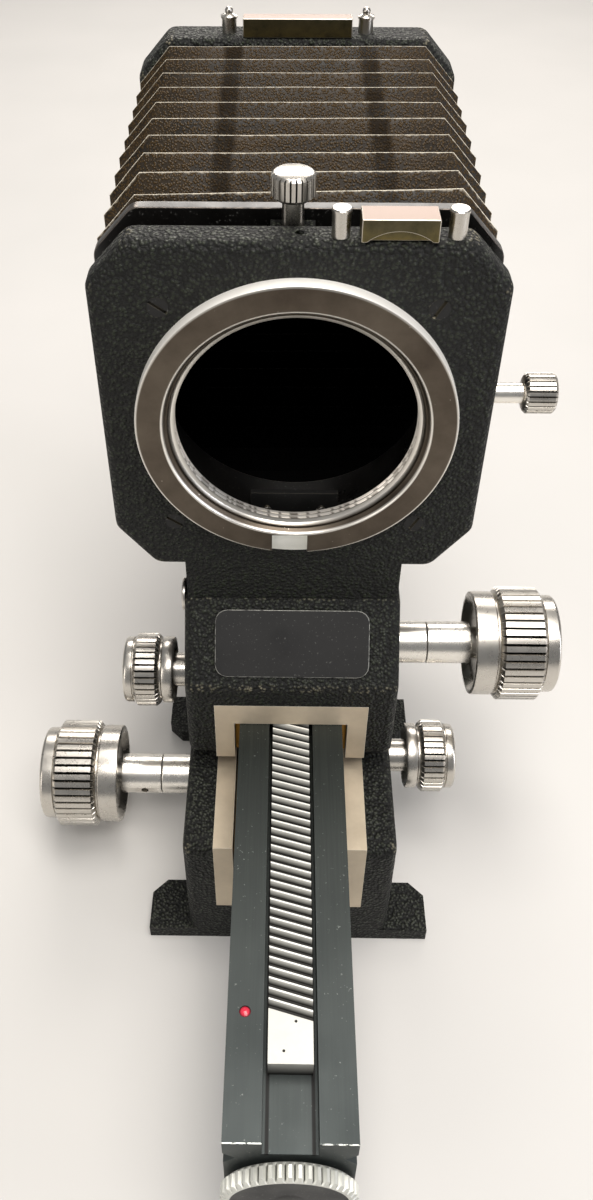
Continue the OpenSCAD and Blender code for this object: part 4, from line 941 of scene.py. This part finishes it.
marked(lens_ring, "edge", lens_ring_edge)
marked(lens_ring, "groove", lens_ring_shade)
bpy.ops.mesh.primitive_cube_add(size=1.0,
    location=lens_axis + Vector((notch_at, 0, -(notch_inner + notch_outer) / 2)) * MM,
    scale=(notch_wide * MM, 2 * notch_deep * MM, (notch_outer - notch_inner) * MM))
notch_cutter = bpy.context.object
activated(lens_ring)
apply_modifier(lens_ring, "BOOLEAN", operation="DIFFERENCE", object=notch_cutter, solver="EXACT")
bpy.data.objects.remove(notch_cutter)
even_shading(lens_ring, ring_angle)
coated(lens_ring, faced_nickel)
lens_ring.data.materials.append(white_metal)
lens_ring.data.materials.append(highlight_rim_metal)
for face in lens_ring.data.polygons:
    off = (face.center - lens_axis) / MM
    in_notch = abs(off.x - notch_at) < notch_wide / 2 + 0.01 and off.z < -ring_face_r
    # The outer side takes the paler metal as a painted highlight.
    if math.hypot(off.x, off.z) > ring_r - 0.25 and off.y < ring_seat - 0.05:
        face.material_index = 2
    if in_notch and off.y < notch_deep + 0.01:
        face.material_index = 1 if off.y > 0.05 else 0
stands_for(lens_ring, "lens_ring")

camera_nickel = hazed_face("faced_camera_nickel", "#8b857b", "#a59f94", lens_axis.z, 0.3)
camera_low, camera_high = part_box("camera_ring")
camera_ring_r = (camera_high.x - camera_low.x) / 2 / MM
camera_deep = (camera_high.y - camera_low.y) / MM
camera_foot = foot_of("camera_ring", (0, 1, 0))
spigot_end = 3.6
camera_back = spigot_end + 3.5
camera_outline = ([(19.6, 0), (23.9, 0), (24.0, 0.1), (24.0, spigot_end - 0.02),
    (camera_ring_r - 0.3, spigot_end), (camera_ring_r, spigot_end + 0.3),
    (camera_ring_r, camera_back - 0.7),
    (camera_ring_r - 0.6, camera_back - 0.1), (21.2, camera_back - 0.1), (20.6, camera_back)]
    + thread_turns(21.0, 20.5, camera_back + 0.1, camera_deep - 0.1)
    + [(20.7, camera_deep), (19.6, camera_deep), (19.5, camera_deep - 0.1), (19.5, 0.1), (19.6, 0)])
camera_ring = turned("camera_mount_ring", camera_foot, (0, 1, 0), camera_outline, ring_sides)
activated(camera_ring)
fitted(camera_ring, "camera_ring", camera_nickel, ring_angle)


# ---- small turned controls ----
# Thumbscrew, plunger, rear clamp screw, end discs, the ring's button and the plug in the
# carriage's side: turned from bar and plated, the knurled ones with straight grooves.
small_head = (3.4, 0.35)
small_teeth = 24
small_sides = 64
rod_r = 1.72
thumb_low, thumb_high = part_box("bellows_thumbscrew")
thumb_top = (thumb_high.z - thumb_low.z) / MM
thumb_under = thumb_top - 4.2
thumb_outline = [(pole_r, 0), (rod_r - 0.2, 0), (rod_r, 0.2), (rod_r, thumb_under - 0.05),
    (2.2, thumb_under), (2.7, thumb_under + 0.1), (3.05, thumb_under + 0.35),
    (3.4, thumb_under + 0.75), (3.4, thumb_top - 0.5), (3.05, thumb_top - 0.12),
    (2.75, thumb_top), (pole_r, thumb_top)]
knurled("bellows_thumbscrew", "bellows_thumbscrew_turned", (0, 0, 1), thumb_outline, small_head,
    (thumb_under + 0.7, thumb_top - 0.45), small_teeth, nickel)

head_outline = [(pole_r, 0), (2.7, 0), (3.0, 0.15), (3.4, 0.55), (3.4, 4.85), (3.0, 5.3),
    (2.7, 5.4), (1.9, 5.4), (1.75, 5.25), (pole_r, 5.25)]
knurled("plunger_head", "plunger_head_turned", (1, 0, 0), head_outline, small_head, (0.5, 4.9),
    small_teeth, nickel)
deburred("plunger_rod", "plunger_rod_turned", 0.2, nickel)

clamp_len = (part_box("rear_clamp_screw")[1].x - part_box("rear_clamp_screw")[0].x) / MM
clamp_head = clamp_len - 6.0
clamp_grip = (4.0, 0.5)
clamp_outline = [(pole_r, 0), (1.8, 0), (2.0, 0.2), (2.0, clamp_head), (3.3, clamp_head),
    (3.5, clamp_head + 0.2), (4.0, clamp_head + 0.6), (4.0, clamp_len - 0.6),
    (3.5, clamp_len - 0.15), (3.2, clamp_len), (2.4, clamp_len), (2.2, clamp_len - 0.2),
    (pole_r, clamp_len - 0.2)]
knurled("rear_clamp_screw", "rear_clamp_screw_turned", (-1, 0, 0), clamp_outline, clamp_grip,
    (clamp_head + 0.55, clamp_len - 0.55), small_teeth, nickel)

white_plate = milled_metal("dull_white_plate", "#cdcec7", "#e4e5de", "#f4f4ee", 0.5, 0.4,
    (1, 1, 1), 0.6)
disc_grip = (11.0, 0.8)
disc_reach = (13.2, 15.2)
disc_teeth = 45
disc_flare = 0.55
dish_r = 9.4
dish_floor = 15.0
disc_outline = [(pole_r, 0), (1.8, 0), (2.0, 0.2), (2.0, 12.0), (4.9, 12.0), (5.0, 12.1),
    (5.0, 12.6), (10.1, 12.6), (10.3, 12.75), (11.0, 13.25), (11.0, 15.1), (10.2, 15.55),
    (9.9, 15.6), (9.5, 15.45), (9.3, 15.1), (2.6, 15.1), (2.4, 15.2), (pole_r, 15.2)]
for cad_node, way in (("front_end_disc", -1), ("rear_end_disc", 1)):
    disc = knurled(cad_node, cad_node + "_turned", (0, way, 0), disc_outline, disc_grip,
        disc_reach, disc_teeth, white_plate, disc_flare)
    # The dished face inside dish_r is made black with the satin lacquer, as black paint and as
    # painted shade in the dish.
    disc.data.materials.append(satin_lacquer)
    foot = foot_of(cad_node, (0, way, 0))
    for face in disc.data.polygons:
        out = (face.center - foot) / MM
        if out.y * way > dish_floor and math.hypot(out.x, out.z) < dish_r:
            face.material_index = 1

button_len = (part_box("camera_ring_button")[1].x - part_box("camera_ring_button")[0].x) / MM
button_outline = [(pole_r, 0), (3.05, 0), (3.25, 0.2), (3.25, button_len - 0.9),
    (3.15, button_len - 0.5), (2.8, button_len - 0.2), (2.0, button_len - 0.05),
    (pole_r, button_len)]
plug_outline = [(pole_r, 0), (3.3, 0), (3.3, 0.35), (3.05, 0.6), (2.4, 0.6), (2.2, 0.45),
    (pole_r, 0.45)]
for cad_node, outline in (("camera_ring_button", button_outline), ("side_plug", plug_outline)):
    foot = foot_of(cad_node, (-1, 0, 0))
    small_piece = turned(cad_node + "_turned", foot, (-1, 0, 0), outline, small_sides)
    activated(small_piece)
    fitted(small_piece, cad_node, nickel, turned_angle)


# ---- tripod bush and red dot ----
# A threaded bush for the quarter-inch tripod screw, and a drop of red enamel in a small
# pit of the rail, domed as it dried but no higher than the rail's top.
inch_thread = 1.27
bush_outline = [(pole_r, 8.0), (2.55, 8.0)]
for turn in range(5, -1, -1):
    start = 0.3 + turn * inch_thread
    bush_outline += [(2.55, start + 1.15), (3.1, start + 0.7), (3.1, start + 0.55),
        (2.55, start + 0.1)]
bush_outline += [(2.55, 0.35), (2.9, 0), (4.5, 0), (4.75, 0.25), (4.75, 9.0), (pole_r, 9.0)]
bush = turned("tripod_bush_turned", foot_of("tripod_bush", (0, 0, 1)), (0, 0, 1), bush_outline, 72)
activated(bush)
fitted(bush, "tripod_bush", ground_steel, turned_angle)


def red_enamel():
    """A drop of glossy enamel, darker where it is thin at its rim."""
    made, tree = new_material("red_enamel")
    rim = node(tree, "Attribute", attribute_name="rim").outputs["Fac"]
    paint = node(tree, "Mix", {0: rim, 6: "#d2354a", 7: "#5d0f18"}, data_type="RGBA")
    shader = node(tree, "BsdfPrincipled", {"Base Color": paint.outputs[2], "Roughness": 0.18})
    node(tree, "OutputMaterial", {0: shader})
    return made


dot_r = 0.95
dot_angle = 50
dot_outline = [(pole_r, 0), (dot_r, 0), (dot_r, 0.2), (dot_r * 0.9, 0.32), (dot_r * 0.65, 0.42),
    (dot_r * 0.35, 0.48), (pole_r, 0.5)]
dot_foot = foot_of("index_dot", (0, 0, 1))
dot = turned("index_dot_enamel", dot_foot, (0, 0, 1), dot_outline, 48)
marked(dot, "rim", lambda vertex: ((vertex.co - dot_foot).xy.length / MM / dot_r - 0.6) / 0.4)
activated(dot)
bpy.ops.object.shade_smooth_by_angle(angle=math.radians(dot_angle))
coated(dot, red_enamel())
stands_for(dot, "index_dot")


# ---- top fittings ----
# Two blocks that carry accessories, with a pair of posts beside each. The blocks are brass
# with worn plate, so their lower faces go yellow; their tops are greyer, with a painted sheen,
# and their broken edges take a painted highlight.
def worn_plate():
    """Plate worn to brass: dull olive on the faces, yellower low down, greyer on top with a painted
    sheen, and pale edges as a painted highlight.
    """
    made, tree = new_material("worn_plate_on_brass")
    place = node(tree, "TexCoord").outputs["Object"]
    patches = node(tree, "TexNoise", {"Vector": place, "Scale": 1 / (2.5 * MM),
        "Detail": 5.0, "Roughness": 0.7})
    brass = node(tree, "Attribute", attribute_name="brass").outputs["Fac"]
    tops = node(tree, "Attribute", attribute_name="top").outputs["Fac"]
    edges = node(tree, "Attribute", attribute_name="edge").outputs["Fac"]
    thin = node(tree, "MapRange", {0: patches, 1: 0.3, 2: 0.6})
    bare = node(tree, "Math", {0: brass, 1: thin}, operation="MULTIPLY")
    # Painted light: the top colour carries a painted sheen, and the edge colour is a painted
    # highlight.
    metal = layered(tree, "#4c4734", (patches, 0.3, 0.7, 1.0, "#655e48"),
        (bare, 0.0, 1.0, 1.0, "#766a42"), (tops, 0.0, 1.0, 1.0, "#85776f"),
        (edges, 0.0, 1.0, 1.0, "#eee6d8"))
    rough = node(tree, "MapRange", {0: tops, 3: 0.42, 4: 0.4})
    bump = node(tree, "Bump", {"Height": patches, "Strength": 0.2, "Distance": 0.03 * MM})
    shader = node(tree, "BsdfPrincipled", {"Base Color": metal, "Metallic": 1.0,
        "Roughness": rough, "Normal": bump})
    node(tree, "OutputMaterial", {0: shader})
    return made


plate_on_brass = worn_plate()
for cad_node in ("front_shoe_block", "rear_shoe_block"):
    block = deburred(cad_node, cad_node + "_milled", 0.18, plate_on_brass)
    low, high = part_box(cad_node)
    marked(block, "top", lambda vertex: 1.0 if vertex.co.z > high.z - 0.02 * MM else 0.0)
    marked(block, "brass", lambda vertex: 1.0 - (vertex.co.z - low.z) / (0.5 * (high.z - low.z)))


def post_pair(cad_node, name, outline, r):
    """Two turned posts in one piece, in the place of their CAD node."""
    low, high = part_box(cad_node)
    middle = (low + high) / 2
    posts = []
    for x in (low.x + r * MM, high.x - r * MM):
        post = turned(name, (x, middle.y, low.z), (0, 0, 1), outline, small_sides)
        posts.append(post)
    deselect_all()
    for post in posts:
        post.select_set(True)
    bpy.context.view_layer.objects.active = posts[0]
    bpy.ops.object.join()
    fitted(posts[0], cad_node, nickel, turned_angle)


front_cap_r = 1.52
front_post_top = (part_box("front_posts")[1].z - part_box("front_posts")[0].z) / MM
front_post_outline = [(pole_r, 0), (1.4, 0), (1.4, front_post_top - 0.62),
    (front_cap_r, front_post_top - 0.55), (front_cap_r, front_post_top - 0.2),
    (1.35, front_post_top), (pole_r, front_post_top)]
post_pair("front_posts", "front_posts_turned", front_post_outline, front_cap_r)

collar_r = 1.75
ball_r = 0.85
ball_z = (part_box("rear_posts")[1].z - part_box("rear_posts")[0].z) / MM - ball_r
rear_post_outline = [(pole_r, 0), (1.55, 0), (1.55, 2.68), (collar_r, 2.74), (collar_r, 3.14),
    (1.68, 3.2)]
for turn in range(-32, 89, 10):
    up, out = math.sin(math.radians(turn)), math.cos(math.radians(turn))
    rear_post_outline.append((ball_r * out, ball_z + ball_r * up))
post_pair("rear_posts", "rear_posts_turned", rear_post_outline, collar_r)


# ---- face screws, pusher and springs ----
# Slotted countersunk screws blackened in oil, the steel plate that presses a lens's
# diaphragm pin, and the piano-wire springs that push it and the ring's button back.
black_oxide = black_lacquer("black_oxide_steel", "#070706", 0.6, "#5c574c")
deburred("face_screws", "face_screws_slotted", 0.05, black_oxide, 1)
deburred("diaphragm_pusher", "diaphragm_pusher_stamped", 0.12, black_oxide)


def wound_spring(cad_node, name):
    """A copy of a spring, smooth-shaded and coated in ground steel, shown in place of its CAD node.
    """
    wire = whole_copy(cad_node, name)
    bpy.ops.object.shade_smooth()
    coated(wire, ground_steel)
    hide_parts(cad_node)
    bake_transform(wire)


low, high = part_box("pusher_springs")
wound_spring("pusher_springs", "pusher_springs_wound")
low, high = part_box("button_spring")
wound_spring("button_spring", "button_spring_wound")
